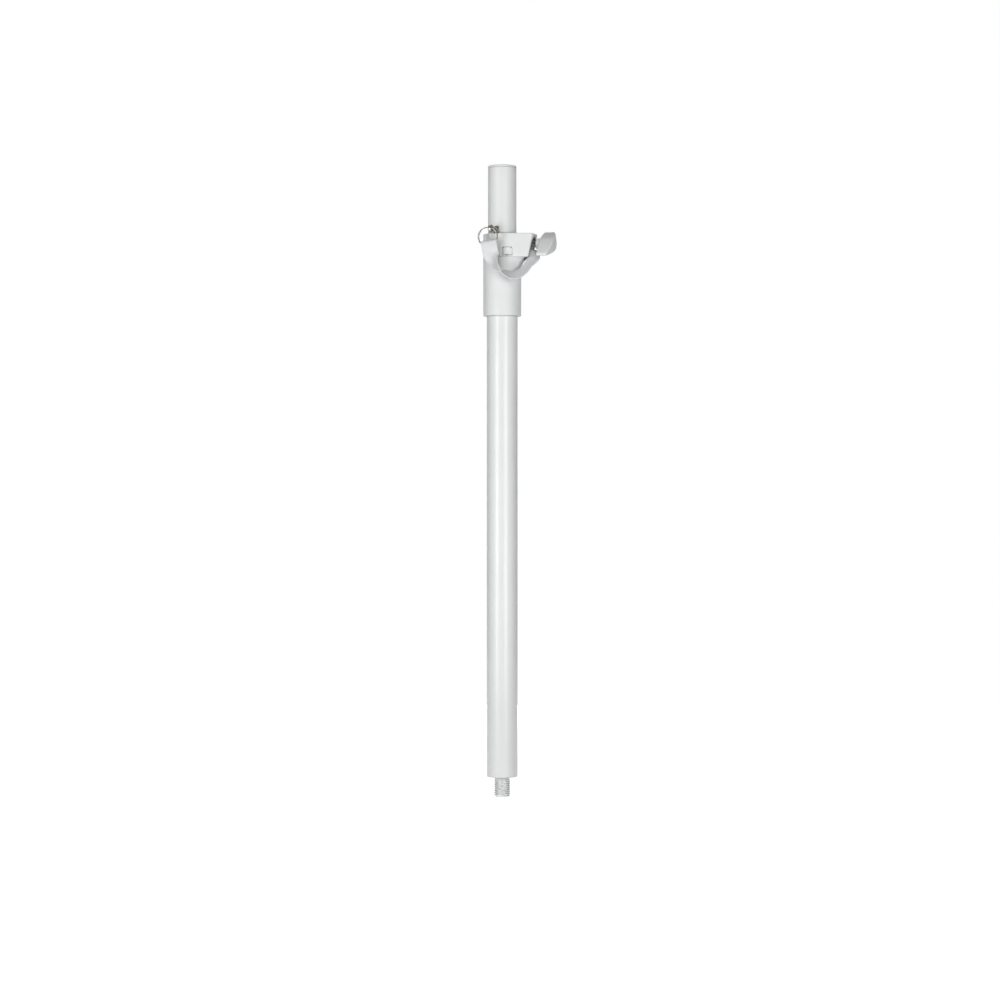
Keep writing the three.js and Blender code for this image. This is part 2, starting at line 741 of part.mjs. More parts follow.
// Least gap between the split ring's two turns, from points on the middle of its wire that lie
// at least half a turn apart
function leastRingGap() {
  const steps = 2 * ringStepsPerTurn;
  const middles = [];
  for (let step = 0; step <= steps; step += 1) {
    const turn = ringStepShare + (step / steps) * 2 * (1 - ringStepShare);
    middles.push(new THREE.Vector3(...ringPoint(turn, ringMiddleRadius, 0)));
  }
  let least = ringDiameter;
  middles.forEach((middle, i) => {
    middles.slice(i + ringStepsPerTurn / 2).forEach((other) => {
      least = Math.min(least, middle.distanceTo(other) - ringWire);
    });
  });
  return least;
}
console.log(`split ring: least gap between its turns ${leastRingGap().toFixed(2)} mm`);

// Places that the ring and the strap share
const facing = THREE.MathUtils.degToRad(ringFacing);
const ringOut = new THREE.Vector3(-Math.sin(facing), -Math.cos(facing), 0);
const ringAlong = new THREE.Vector3(Math.cos(facing), -Math.sin(facing), 0);
const pinAngle = THREE.MathUtils.degToRad(pinTurn);
const pinOut = new THREE.Vector3(-Math.sin(pinAngle), -Math.cos(pinAngle), 0);
const eyeMiddle = pinOut.clone().multiplyScalar(pinEyeReach).setZ(pinRise);
const leanAngle = THREE.MathUtils.degToRad(ringLean);
const ringMiddle = eyeMiddle.clone()
  .addScaledVector(ringAlong, -ringMiddleRadius * Math.sin(leanAngle))
  .add(new THREE.Vector3(0, 0, ringRise - ringMiddleRadius * Math.cos(leanAngle)));

// The strap between its loop and its lug. Each row gives the middle: x as a share of the lug's
// distance, y and z as shares of the sleeve's radius, z from the bracket's lower edge. Then come
// the way across the strap and its width as a share of the loop's width.
const strapRouteShares = [
  [-0.091, -1.523, -0.154, 0.957, -0.285, -0.046, 1.00],
  [-0.010, -1.534, -0.380, 0.800, -0.596, -0.076, 1.00],
  [0.094, -1.513, -0.625, 0.531, -0.844, -0.071, 1.00],
  [0.200, -1.469, -0.806, 0.298, -0.941, -0.160, 1.00],
  [0.306, -1.404, -0.901, 0.201, -0.918, -0.343, 1.00],
  [0.433, -1.308, -0.967, 0.222, -0.770, -0.598, 1.00],
  [0.650, -1.152, -0.925, 0.239, -0.577, -0.781, 1.00],
  [0.850, -0.914, -0.735, 0.471, -0.474, -0.744, 0.95],
  [1.003, -0.608, -0.445, 0.715, -0.147, -0.684, 0.84],
  [1.158, -0.278, -0.193, 0.608, 0.783, -0.130, 0.81],
  [1.160, -0.011, 0.123, 0.081, 0.993, 0.083, 0.78],
];

function strapStations() {
  const stations = [];
  const add = (middle, across, width) => stations.push({ middle, across, width });
  const turn = THREE.MathUtils.degToRad(strapLoopTurn);
  const loopUp = new THREE.Vector3(0, 0, Math.cos(turn)).addScaledVector(ringAlong, -Math.sin(turn));
  const loopAlong = new THREE.Vector3(0, 0, Math.sin(turn)).addScaledVector(ringAlong, Math.cos(turn));
  const low = ringMiddle.clone().addScaledVector(loopUp, -ringMiddleRadius);
  const raised = (point, up) => point.clone().add(new THREE.Vector3(0, 0, up));
  const inLoop = (out, up) => low.clone().addScaledVector(ringOut, out).addScaledVector(loopUp, up);
  const layer = (strapThickness + seatGap) / 2;
  const round = ringDepth / 2 + seatGap + strapThickness / 2;
  add(inLoop(-layer, -strapSeamDrop - strapTailDrop), loopAlong, strapWidth);
  add(inLoop(-layer, -strapSeamDrop), loopAlong, strapWidth);
  add(inLoop(-round, -ringWire), loopAlong, strapWidth);
  for (let step = 0; step <= strapFoldSteps; step += 1) {
    const angle = (step * Math.PI) / strapFoldSteps;
    const up = strapLoopRise + round * Math.sin(angle);
    add(inLoop(-round * Math.cos(angle), up), loopAlong, strapWidth);
  }
  add(inLoop(round, -ringWire), loopAlong, strapWidth);
  add(inLoop(layer, -strapSeamDrop), ringAlong, strapWidth);
  strapRouteShares.forEach(([x, y, z, acrossX, acrossY, acrossZ, share]) => {
    const middle = new THREE.Vector3(x * lugMiddle, y * sleeveRadius, z * sleeveRadius);
    const across = new THREE.Vector3(acrossX, acrossY, acrossZ);
    add(raised(middle, bracketFoot), across, strapWidth * share);
  });
  const lugAcross = new THREE.Vector3(0, 1, 0);
  add(new THREE.Vector3(lugMiddle, 0, screwRise - strapNeckDrop), lugAcross, strapLugWidth);
  add(new THREE.Vector3(lugMiddle, 0, screwRise - strapNeckDrop / 2), lugAcross, strapLugWidth);
  add(new THREE.Vector3(lugMiddle, 0, screwRise), lugAcross, strapLugWidth);
  return stations;
}

// Flat strap: a four-cornered section carried through the stations, with a round lug at its end
function tetherStrap() {
  const stations = strapStations();
  const path = new THREE.CatmullRomCurve3(stations.map((at) => at.middle), false, 'centripetal');
  const sections = [];
  const last = stations.length - 1;
  for (let step = 0; step <= last * strapStepsBetween; step += 1) {
    const t = step / (last * strapStepsBetween);
    const from = Math.min(Math.floor(t * last), last - 1);
    const share = t * last - from;
    const across = stations[from].across.clone().lerp(stations[from + 1].across, share);
    const width = THREE.MathUtils.lerp(stations[from].width, stations[from + 1].width, share);
    sections.push({ middle: path.getPoint(t), forward: path.getTangent(t), across, width });
  }
  const lugRadius = strapLugWidth / 2;
  const up = new THREE.Vector3(0, 0, 1);
  for (let step = 1; step <= strapLugSteps; step += 1) {
    const angle = (step * Math.PI) / 2 / (strapLugSteps + 1 / 2);
    sections.push({
      middle: new THREE.Vector3(lugMiddle, 0, screwRise + lugRadius * Math.sin(angle)),
      forward: up,
      across: new THREE.Vector3(0, 1, 0),
      width: strapLugWidth * Math.cos(angle),
    });
  }
  const positions = [];
  const index = [];
  sections.forEach(({ middle, forward, across, width }) => {
    const side = across.clone().addScaledVector(forward, -across.dot(forward)).normalize();
    const face = new THREE.Vector3().crossVectors(side, forward).normalize();
    [[-1, -1], [1, -1], [1, 1], [-1, 1]].forEach(([along, off]) => {
      const corner = middle.clone()
        .addScaledVector(side, (along * width) / 2)
        .addScaledVector(face, (off * strapThickness) / 2);
      positions.push(corner.x, corner.y, corner.z);
    });
  });
  for (let row = 0; row < sections.length - 1; row += 1) {
    for (let side = 0; side < 4; side += 1) {
      const a = row * 4 + side;
      const b = row * 4 + ((side + 1) % 4);
      index.push(a, a + 4, b, b, a + 4, b + 4);
    }
  }
  const end = (sections.length - 1) * 4;
  index.push(0, 1, 2, 0, 2, 3, end, end + 2, end + 1, end, end + 3, end + 2);
  const geometry = new THREE.BufferGeometry();
  geometry.setAttribute('position', new THREE.Float32BufferAttribute(positions, 3));
  geometry.setIndex(index);
  const holeRadius = clampScrewDiameter / 2 + seatGap;
  const hole = alongScrew(rod(holeRadius, sleeveRadius, lugMiddle + strapThickness));
  return solidOf(geometry).subtract(solidOf(hole.translate(0, 0, screwRise)));
}

// The assembly
const pole = new THREE.Group();
pole.add(
  piece('lower_tube', baseTube(), glossPaint),
  piece('base_plug', basePlug(), zincPlate),
  piece('threaded_stud', stud(), zincPlate),
  piece('stud_lock_washer', lockWasher(), zincPlate),
  piece('stud_nut', studNut(), zincPlate),
  piece('clamp_sleeve', clampSleeve(), whitePlastic),
  piece('guide_bush', guideBush(), guidePlastic),
  piece('tether_strap', tetherStrap(), strapPlastic),
);
for (let screw = 0; screw < sleeveScrewCount; screw += 1) {
  pole.add(piece(`sleeve_screw_${screw + 1}`, sleeveScrew(screw), zincPlate));
}

const slidingTube = new THREE.Group();
slidingTube.add(
  piece('upper_tube', slideTube(), satinPaint),
  piece('tube_cap', tubeCap(), whitePlastic),
  piece('foot_guide', footGuide(), guidePlastic),
  piece('foot_pin', footPin(), zincPlate),
);
pole.add(slidingTube);

const padCarrier = new THREE.Group();
padCarrier.position.set(0, 0, screwRise);
padCarrier.add(piece('pressure_pad', pressurePad(), guidePlastic));
pole.add(padCarrier);

const screwLine = new THREE.Group();
screwLine.position.set(0, 0, screwRise);
screwLine.rotation.set(0, Math.PI / 2, 0);
screwLine.add(piece('clamp_nut', clampNut(), zincPlate));
screwLine.add(piece('lug_washer', lugWasher(), zincPlate));
const knobSet = new THREE.Group();
knobSet.rotation.set(0, 0, THREE.MathUtils.degToRad(180 - wingTurn));
knobSet.add(
  piece('clamp_screw', clampScrew(), zincPlate),
  piece('clamp_knob', knob(), whitePlastic),
);
screwLine.add(knobSet);
pole.add(screwLine);

const pinSet = new THREE.Group();
pinSet.position.set(0, 0, pinRise);
pinSet.rotation.set(Math.PI / 2, 0, -pinAngle, 'ZYX');
pinSet.add(piece('locking_pin', lockingPin(), nickelPlate));
pole.add(pinSet);

const ring = piece('split_ring', splitRing(), nickelPlate);
ring.position.copy(ringMiddle);
ring.rotation.set(0, 0, -facing);
pole.add(ring);

export default pole;
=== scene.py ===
# %% [markdown]
# # A telescopic speaker pole
#
# The pole lifts a small loudspeaker above a bass cabinet. A 35 mm steel tube slides inside a
# 38 mm one, whose M20 stud screws into the cabinet. A moulded clamp with a wing knob grips the
# inner tube, and a locking pin on a strap keeps it from slipping. The frame that is loaded
# here holds every piece at its real size, and this script gives the pieces their finer
# surfaces and their finishes. The pieces are worked out in millimetres, and one function
# makes their meshes in metres. The camera, the lamps and the floor are placed in metres.

# %% Load the frame
import math

import bmesh
import bpy
import numpy as np
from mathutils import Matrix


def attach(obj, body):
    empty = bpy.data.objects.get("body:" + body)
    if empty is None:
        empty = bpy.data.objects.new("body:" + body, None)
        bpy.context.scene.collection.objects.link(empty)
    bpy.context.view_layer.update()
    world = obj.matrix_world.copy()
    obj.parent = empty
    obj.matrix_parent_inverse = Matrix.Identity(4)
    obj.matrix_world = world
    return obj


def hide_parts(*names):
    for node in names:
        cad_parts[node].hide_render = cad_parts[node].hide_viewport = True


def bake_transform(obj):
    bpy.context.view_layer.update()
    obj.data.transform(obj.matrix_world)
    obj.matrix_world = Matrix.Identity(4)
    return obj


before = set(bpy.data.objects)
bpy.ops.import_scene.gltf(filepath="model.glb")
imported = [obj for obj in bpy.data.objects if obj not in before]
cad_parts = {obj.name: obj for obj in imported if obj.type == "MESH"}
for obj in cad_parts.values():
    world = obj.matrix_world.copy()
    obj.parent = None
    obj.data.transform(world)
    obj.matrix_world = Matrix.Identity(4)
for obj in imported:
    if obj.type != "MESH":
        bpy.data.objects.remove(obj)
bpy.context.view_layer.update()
print("pieces in the frame:", len(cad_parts))

# %% [markdown]
# ## Camera
#
# The photograph looks level at the pole from a long way off, so its sides stay parallel. A
# camera could be aimed with a Track To constraint, but a level camera needs only one turn
# about the upright axis, which is easier to read.

# %% Camera
MM = 0.001
VIEW_TURN = math.radians(15)      # from straight in front, towards the knob
VIEW_DISTANCE = 3.4
VIEW_HEIGHT = 0.3401
PIXELS_WIDE = 1000
POLE_OFFSET = 2.2                 # pixels that the pole stands to the right of the middle
FOCAL_PIXELS = 2764


def in_scene(name, data):
    """A new object for the data, put in the scene."""
    thing = bpy.data.objects.new(name, data)
    bpy.context.scene.collection.objects.link(thing)
    return thing


def round_pole(angle, distance, height):
    """The place at an angle round the pole, from straight in front: (d sin a, -d cos a, z)."""
    return distance * math.sin(angle), -distance * math.cos(angle), height


camera = in_scene("camera", bpy.data.cameras.new("camera"))
bpy.context.scene.camera = camera
camera.data.sensor_width = 36
camera.data.lens = FOCAL_PIXELS / PIXELS_WIDE * camera.data.sensor_width
camera.data.shift_x = -POLE_OFFSET / PIXELS_WIDE
camera.location = round_pole(VIEW_TURN, VIEW_DISTANCE, VIEW_HEIGHT)
camera.rotation_euler = (math.pi / 2, 0, VIEW_TURN)
print("camera lens:", round(camera.data.lens, 1), "mm")

# %% [markdown]
# ## Node helper and colours
#
# A material is a small graph. One helper adds a node, sets it and links it, so each material
# below reads as a list of what it is made of. Colours are written as the sRGB hex values that
# a colour picker shows, and one function turns them into the linear values that light needs.

# %% Node helper and colours
def linear(hex_colour):
    """Each sRGB channel c goes to c/12.92 below 0.04045, else ((c+0.055)/1.055)^2.4."""
    channels = np.array([int(hex_colour[i:i + 2], 16) for i in (1, 3, 5)]) / 255
    low = channels / 12.92
    high = ((channels + 0.055) / 1.055) ** 2.4
    return (*np.where(channels <= 0.04045, low, high).tolist(), 1.0)


def add(tree, kind, settings=None, links=None):
    """Adds a shader node; settings are its sockets or properties, links its incoming wires."""
    node = tree.nodes.new("ShaderNode" + kind)
    for name, value in (settings or {}).items():
        if isinstance(name, str) and hasattr(node, name):
            setattr(node, name, value)
        else:
            node.inputs[name].default_value = value
    for name, source in (links or {}).items():
        tree.links.new(source, node.inputs[name])
    return node


def empty_material(name):
    """A material that has no nodes yet, and its tree."""
    material = bpy.data.materials.new(name)
    material.use_nodes = True
    material.node_tree.nodes.clear()
    return material, material.node_tree


print("white paint in linear light:", [round(c, 3) for c in linear("#E6E8E7")])

# %% [markdown]
# ## Studio
#
# The pole was photographed against pure white. White paper could be lit until it burns out,
# but that light would wash over the pole too. Here the world is white to the camera, and
# lights the pole at a plain level that falls off towards a dark ceiling. Reflections see it
# white on the backdrop's side and dim behind the camera and overhead, so that plated pieces
# and gloss paint are both light and dark, as they are in the photograph. The floor is white
# too, and keeps the pole's shadow.

# %% World
AMBIENT, CEILING = 0.50, 0.12     # the plain light from the sides and from overhead
CEILING_RISE = 0.9                # the upward part of a direction that meets the ceiling
DIM_ROOM = 0.25
ROOM_DIM_AT, ROOM_WHITE_AT = -0.5, 0.1      # of a direction, where 1 is away from the camera
OVERHEAD = -0.3                   # what looking up takes from that


def seen_white(tree):
    """The kinds of ray, and a value that is 1 for the kinds that see the white background:
    those from the camera, and those that are mirrored or let through."""
    path = add(tree, "LightPath")
    seen = path.outputs["Is Camera Ray"]
    for kind in ("Is Glossy Ray", "Is Transmission Ray"):
        either = add(tree, "Math", {"operation": "MAXIMUM"}, {0: seen, 1: path.outputs[kind]})
        seen = either.outputs[0]
    return path, seen


world = bpy.data.worlds.new("white studio")
bpy.context.scene.world = world
world.use_nodes = True
tree = world.node_tree
tree.nodes.clear()
path, seen = seen_white(tree)
way = add(tree, "TexCoord").outputs["Generated"]
backdrop_way = (-math.sin(VIEW_TURN), math.cos(VIEW_TURN), OVERHEAD)
away = add(tree, "VectorMath", {"operation": "DOT_PRODUCT", 1: backdrop_way}, {0: way})
room = add(tree, "MapRange", {"From Min": ROOM_DIM_AT, "From Max": ROOM_WHITE_AT,
                              "To Min": DIM_ROOM, "To Max": 1.0}, {"Value": away.outputs["Value"]})
rise = add(tree, "SeparateXYZ", {}, {0: way})
plain_light = add(tree, "MapRange", {"From Min": 0.0, "From Max": CEILING_RISE, "To Min": AMBIENT,
                                     "To Max": CEILING}, {"Value": rise.outputs["Z"]})
strength = add(tree, "Mix", {"data_type": "FLOAT"},
               {0: seen, 2: plain_light.outputs[0], 3: room.outputs[0]})
strength = add(tree, "Mix", {"data_type": "FLOAT", 3: 1.0},
               {0: path.outputs["Is Camera Ray"], 2: strength.outputs[0]})
white = add(tree, "Background", {"Color": (1, 1, 1, 1)}, {"Strength": strength.outputs[0]})
add(tree, "OutputWorld", {}, {"Surface": white.outputs[0]})
bpy.context.scene.view_settings.view_transform = "Standard"

# %% Floor
FLOOR_HALF = 6.0
FLOOR_HEIGHT = -0.0245
FLOOR_GLOW = 0.88                 # added where it is seen, to the light that falls on it

floor_mesh = bpy.data.meshes.new("floor")
corners = np.array([[-1, -1], [1, -1], [1, 1], [-1, 1]]) * FLOOR_HALF
floor_mesh.from_pydata([(x, y, FLOOR_HEIGHT) for x, y in corners], [], [(0, 1, 2, 3)])
floor = in_scene("floor", floor_mesh)
paper, tree = empty_material("white paper floor")
path, seen = seen_white(tree)
lit = add(tree, "BsdfDiffuse", {"Color": linear("#C8C8C8")})
glow = add(tree, "Emission", {"Color": (1, 1, 1, 1), "Strength": FLOOR_GLOW})
both = add(tree, "AddShader", {}, {0: lit.outputs[0], 1: glow.outputs[0]})
mixed = add(tree, "MixShader", {}, {0: seen, 1: lit.outputs[0], 2: both.outputs[0]})
add(tree, "OutputMaterial", {}, {"Surface": mixed.outputs[0]})
floor_mesh.materials.append(paper)
print("floor:", 2 * FLOOR_HALF, "m wide, at", FLOOR_HEIGHT, "m")

# %% Lamps
POLE_MIDDLE = 0.38
LAMP_DISTANCE, LAMP_HEIGHT, LAMP_TALL = 1.5, 0.45, 0.92


def lamp(name, turn, wide, watts):
    """A soft box that faces the pole from turn degrees to the right of the camera."""
    data = bpy.data.lights.new(name, "AREA")
    data.shape = "RECTANGLE"
    data.size, data.size_y = wide, LAMP_TALL
    data.energy = watts
    box = in_scene(name, data)
    angle = VIEW_TURN + math.radians(turn)
    box.location = round_pole(angle, LAMP_DISTANCE, LAMP_HEIGHT)
    tilt = math.atan2(LAMP_HEIGHT - POLE_MIDDLE, LAMP_DISTANCE)
    box.rotation_euler = (math.pi / 2 - tilt, 0, angle)
    return box


lamp("key", -39, 0.5, 10.2)
lamp("fill", 28, 0.45, 9.5)
back = lamp("back", 180, 0.3, 8)
back.visible_camera = back.visible_glossy = False

# %% [markdown]
# ## Black flags
#
# On a white set, white and plated pieces lose their edges, because the edges mirror the set.
# Photographers stand black cards, called flags, beside the piece, just out of the picture.
# These two are seen by reflections alone, so they take no light from the pole.

# %% Flags
FLAG_DISTANCE, FLAG_TALL = 1.5, 1.4
FLAG_FROM, FLAG_TO = 85, 150      # degrees round the pole from the camera


def flag(name, side):
    """A curved card on one side of the camera: (d sin a, -d cos a, z)."""
    angle = VIEW_TURN + side * np.radians(np.linspace(FLAG_FROM, FLAG_TO, 14))
    foot = np.stack([FLAG_DISTANCE * np.sin(angle), -FLAG_DISTANCE * np.cos(angle), 0 * angle], 1)
    rows = np.stack([foot, foot + [0, 0, FLAG_TALL]])
    mesh = bpy.data.meshes.new(name)
    faces = [(i, i + 1, len(angle) + i + 1, len(angle) + i) for i in range(len(angle) - 1)]
    mesh.from_pydata(rows.reshape(-1, 3).tolist(), [], faces)
    mesh.materials.append(black_card)
    card = in_scene(name, mesh)
    card.visible_camera = card.visible_diffuse = card.visible_shadow = False
    card.visible_transmission = card.visible_volume_scatter = False


black_card, tree = empty_material("black card")
matt = add(tree, "BsdfDiffuse", {"Color": linear("#2A2A2A")})
add(tree, "OutputMaterial", {}, {"Surface": matt.outputs[0]})
for name, side in (("left_flag", -1), ("right_flag", 1)):
    flag(name, side)
print("flags:", FLAG_FROM, "to", FLAG_TO, "degrees on both sides")

# %% [markdown]
# ## Powder-coated and painted steel
#
# The sliding tube is powder coated: a plastic powder is baked on, and melts into a satin skin
# with a fine orange peel. The fixed tube has a glossier coat, which shows two soft streaks
# from the lamps. Both could be one flat white, but the eye reads the small waves in the skin,
# so each gets a bump that is worked out from a real wave length.

# %% Noise, colour, painted shade and relief
def noise(tree, wave_mm, detail, stretch=(1, 1, 1)):
    """Noise whose waves are wave_mm long in object space, stretched along an axis."""
    place = add(tree, "TexCoord")
    turned = add(tree, "Mapping", {"Scale": stretch}, {"Vector": place.outputs["Object"]})
    waves = add(tree, "TexNoise", {"Scale": 1 / (wave_mm * MM), "Detail": detail},
                {"Vector": turned.outputs[0]})
    return waves.outputs[0]


def ramp(tree, source, low, high):
    """Maps a noise, which mostly lies between 0.3 and 0.7, onto the range from low to high."""
    return add(tree, "MapRange", {"From Min": 0.3, "From Max": 0.7, "To Min": low,
                                  "To Max": high}, {"Value": source}).outputs[0]


def tinted_with_painted_shade(tree, share, first, second, shade_reach_mm, depth):
    """Mixes two hex colours by a 0 to 1 share, then darkens them by up to depth where other
    surfaces lie within shade_reach_mm. That isn't dirt: it imitates the soft shadows that the
    photograph has under the bracket and in the recess, which the lamps alone leave too light."""
    mix = add(tree, "Mix", {"data_type": "RGBA", 6: linear(first), 7: linear(second)}, {0: share})
    near = add(tree, "AmbientOcclusion", {"samples": 8, "Distance": shade_reach_mm * MM})
    shade = add(tree, "MapRange", {"From Min": 0.05, "From Max": 0.75, "To Min": depth,
                                   "To Max": 0.0}, {"Value": near.outputs["AO"]})
    # Painted shade: the colour is drawn towards this warm black where other surfaces are near.
    shaded = add(tree, "Mix", {"data_type": "RGBA", 7: linear("#3A3833")},
                 {0: shade.outputs[0], 6: mix.outputs[2]})
    return shaded.outputs[2]


def finish(name, settings, colours, cloud, relief, height_mm, roughness, shade_reach_mm, depth,
           wear=None):
    """A Principled material. The noise cloud mixes its two colours, the noise relief raises its
    skin by height_mm, and the noise wear, or else the relief, moves its roughness between two
    values. The colour also carries painted shade: it is drawn by up to depth towards a warm black
    where other surfaces lie close by. A noise is given as its wave length in mm, its detail and
    any stretch."""
    material, tree = empty_material(name)
    waves = noise(tree, *relief)
    patches = noise(tree, *wear) if wear else waves
    colour = tinted_with_painted_shade(tree, ramp(tree, noise(tree, *cloud), 0, 1), *colours, shade_reach_mm, depth)
    bump = add(tree, "Bump", {"Strength": 1.0, "Distance": height_mm * MM}, {"Height": waves})
    shader = add(tree, "BsdfPrincipled", {"Base Color": linear(colours[0]), **settings}, {
        "Base Color": colour, "Roughness": ramp(tree, patches, *roughness),
        "Normal": bump.outputs[0]})
    add(tree, "OutputMaterial", {}, {"Surface": shader.outputs[0]})
    return material


# %% Painted finishes
def painted(name, colours, roughness, peel_mm, peel_height, coat):
    """Baked paint: soft waves of orange peel, and wear in faint streaks along the tube. Its colour
    carries painted shade, up to 0.75 of the way to a warm black within 5 mm of other surfaces.
    """
    return finish(name, {"IOR": 1.5, "Coat Weight": coat, "Coat Roughness": 0.2}, colours,
                  (60, 3.0), (peel_mm, 2.0), peel_height, (roughness - 0.04, roughness + 0.05),
                  5.0, 0.75, (4, 4.0, (1, 1, 0.04)))


satin_powder_coat = painted(
    "satin powder coat on steel", ("#E3E5E4", "#E7E9E8"), 0.42, 1.6, 0.02, 0.0)
gloss_powder_coat = painted(
    "gloss powder coat on steel", ("#E4E6E5", "#E9EBEA"), 0.32, 2.6, 0.012, 0.09)
print("painted:", satin_powder_coat.name, "and", gloss_powder_coat.name)

# %% [markdown]
# ## Mouldings, strap and plated steel
#
# The clamp, knob and cap are moulded from ABS in a spark-eroded mould, which leaves an even
# matt grain. The guide pieces are acetal, which is smoother and a little translucent. The
# strap is soft vinyl. Screws and stud are zinc plated, the pin and ring nickel plated: plate
# is thin, so what shows is the metal's own fine roughness with a faint tint.

# %% Mouldings and strap
def moulded(name, colours, roughness, grain_mm, grain_height, settings, shade_reach_mm=25.0):
    """Moulded plastic: the grain of its mould, which also breaks up its shine. Its colour carries
    painted shade, up to 0.9 of the way to a warm black where other surfaces lie within the reach,
    25 mm unless given.
    """
    return finish(name, {"IOR": 1.53, **settings}, colours, (25, 3.0), (grain_mm, 2.0),
                  grain_height, (roughness - 0.05, roughness + 0.05), shade_reach_mm, 0.9)


white_abs = moulded("moulded ABS with a matt grain", ("#E1E3E3", "#E5E7E7"), 0.55, 0.7, 0.02, {})
guide_acetal = moulded("moulded acetal", ("#DCDDDA", "#E0E1DE"), 0.4, 1.2, 0.008,
                       {"Subsurface Weight": 0.1, "Subsurface Radius": (0.6, 0.6, 0.6),
                        "Subsurface Scale": MM})
strap_vinyl = moulded("soft vinyl strap", ("#D8D9DB", "#DEDFE0"), 0.5, 0.9, 0.03,
                      {"Subsurface Weight": 0.15, "Subsurface Radius": (0.8, 0.8, 0.9),
                       "Subsurface Scale": MM}, 4.0)
print("moulded:", white_abs.name + ",", guide_acetal.name, "and", strap_vinyl.name)

# %% Plated steel
def plated(name, colours, roughness, grain_mm, grain_height):
    """Plated steel: a fine grain, and a tint that changes faintly. Its colour carries painted
    shade, up to 0.6 of the way to a warm black within 1.5 mm of other surfaces.
    """
    return finish(name, {"Metallic": 1.0}, colours, (6, 2.0), (grain_mm, 4.0), grain_height,
                  (roughness - 0.05, roughness + 0.08), 1.5, 0.6)


zinc_plate = plated("bright zinc plate on steel", ("#DFE2E4", "#E3E3DF"), 0.5, 1.6, 0.0004)
nickel_plate = plated("nickel plate on spring steel", ("#9C9791", "#AAA59F"), 0.24, 1.0, 0.0008)
# The clamp screw and the lug washer are coloured dark as painted shade, for the shade that falls
# in the recess.
zinc_darkened_as_shade = plated("zinc plate darkened as painted shade", ("#A29E98", "#B4B0AA"), 0.25, 0.8, 0.004)
print("materials so far:", len(bpy.data.materials))

# %% [markdown]
# ## Surfaces from arrays
#
# Every new piece is a grid of points: rows along a profile and columns around or across.
# Numpy works out the whole grid at once. Four helpers carry all the pieces: one joins grid
# points into faces, one spins a profile about the pole's axis, one makes the mesh, and one
# cuts a hole with a second closed surface.

# %% Grid and mesh helpers
def grid_faces(rows, columns, loop_rows=False, loop_columns=True):
    """Corner numbers of the quads between neighbouring rows and columns, as an array."""
    r = np.arange(rows if loop_rows else rows - 1)
    c = np.arange(columns if loop_columns else columns - 1)
    r, c = (a.ravel() for a in np.meshgrid(r, c, indexing="ij"))
    r2, c2 = (r + 1) % rows, (c + 1) % columns
    return np.stack([r * columns + c, r * columns + c2, r2 * columns + c2, r2 * columns + c], 1)


def shell(grid, place=None, loop_rows=False, loop_columns=True):
    """A grid of points, moved by place if it is given, and its quads."""
    points = grid.reshape(-1, 3)
    return (place(points) if place else points,
            grid_faces(*grid.shape[:2], loop_rows, loop_columns))


def spun(profile, sides):
    """Profile rows (radius, height) carried round the axis: (r cos a, r sin a, h)."""
    radius, height = np.array(profile, float).T
    angle = np.arange(sides) * 2 * math.pi / sides
    ring = np.stack([np.cos(angle), np.sin(angle)], 1)
    grid = np.empty((len(radius), sides, 3))
    grid[..., :2] = radius[:, None, None] * ring
    grid[..., 2] = height[:, None]
    return grid


def rounded(points, radius, steps=4):
    """Rounds a polyline's inner corners: each corner p becomes an arc-like curve between
    points radius away from it, b(t) = (1-t)^2 p0 + 2t(1-t) p + t^2 p1."""
    points = [np.array(p, float) for p in points]
    radii = radius if isinstance(radius, (list, tuple)) else [radius] * (len(points) - 2)
    out = [points[0]]
    t = np.linspace(0, 1, steps + 1)[:, None]
    for before, corner, after, r in zip(points, points[1:], points[2:], radii):
        back, on = before - corner, after - corner
        reach_back = min(r, np.linalg.norm(back) * 0.49)
        reach_on = min(r, np.linalg.norm(on) * 0.49)
        if r <= 0:
            out.append(corner)
            continue
        p0 = corner + back / np.linalg.norm(back) * reach_back
        p1 = corner + on / np.linalg.norm(on) * reach_on
        out.extend((1 - t) ** 2 * p0 + 2 * t * (1 - t) * corner + t ** 2 * p1)
    out.append(points[-1])
    return np.array(out)


# %% Meshes and cuts
SAME_PLACE = 1e-7                 # metres within which two points are one


def mesh_of(name, shells):
    """One mesh from (points, faces) pairs in millimetres, with doubled points merged and its
    faces turned outwards."""
    points = np.concatenate([p for p, _ in shells]) * MM
    starts = np.cumsum([0] + [len(p) for p, _ in shells[:-1]])
    faces = np.concatenate([f + s for (_, f), s in zip(shells, starts)])
    mesh = bpy.data.meshes.new(name)
    mesh.from_pydata(points.tolist(), [], faces.tolist())
    grid = bmesh.new()
    grid.from_mesh(mesh)
    bmesh.ops.remove_doubles(grid, verts=grid.verts, dist=SAME_PLACE)
    bmesh.ops.dissolve_degenerate(grid, edges=grid.edges, dist=SAME_PLACE)
    bmesh.ops.recalc_face_normals(grid, faces=grid.faces)
    grid.to_mesh(mesh)
    grid.free()
    return mesh


def cut(mesh, cutters, operation="DIFFERENCE"):
    """Takes each cutter's closed mesh out of the mesh, or joins it on."""
    body = in_scene("body", mesh)
    tools = [in_scene("tool", cutter) for cutter in cutters]
    for tool in tools:
        step = body.modifiers.new("cut", "BOOLEAN")
        step.operation, step.solver, step.object = operation, "EXACT", tool
    ready = body.evaluated_get(bpy.context.evaluated_depsgraph_get())
    result = bpy.data.meshes.new_from_object(ready)
    for scrap in [body, *tools]:
        bpy.data.objects.remove(scrap)
    return result


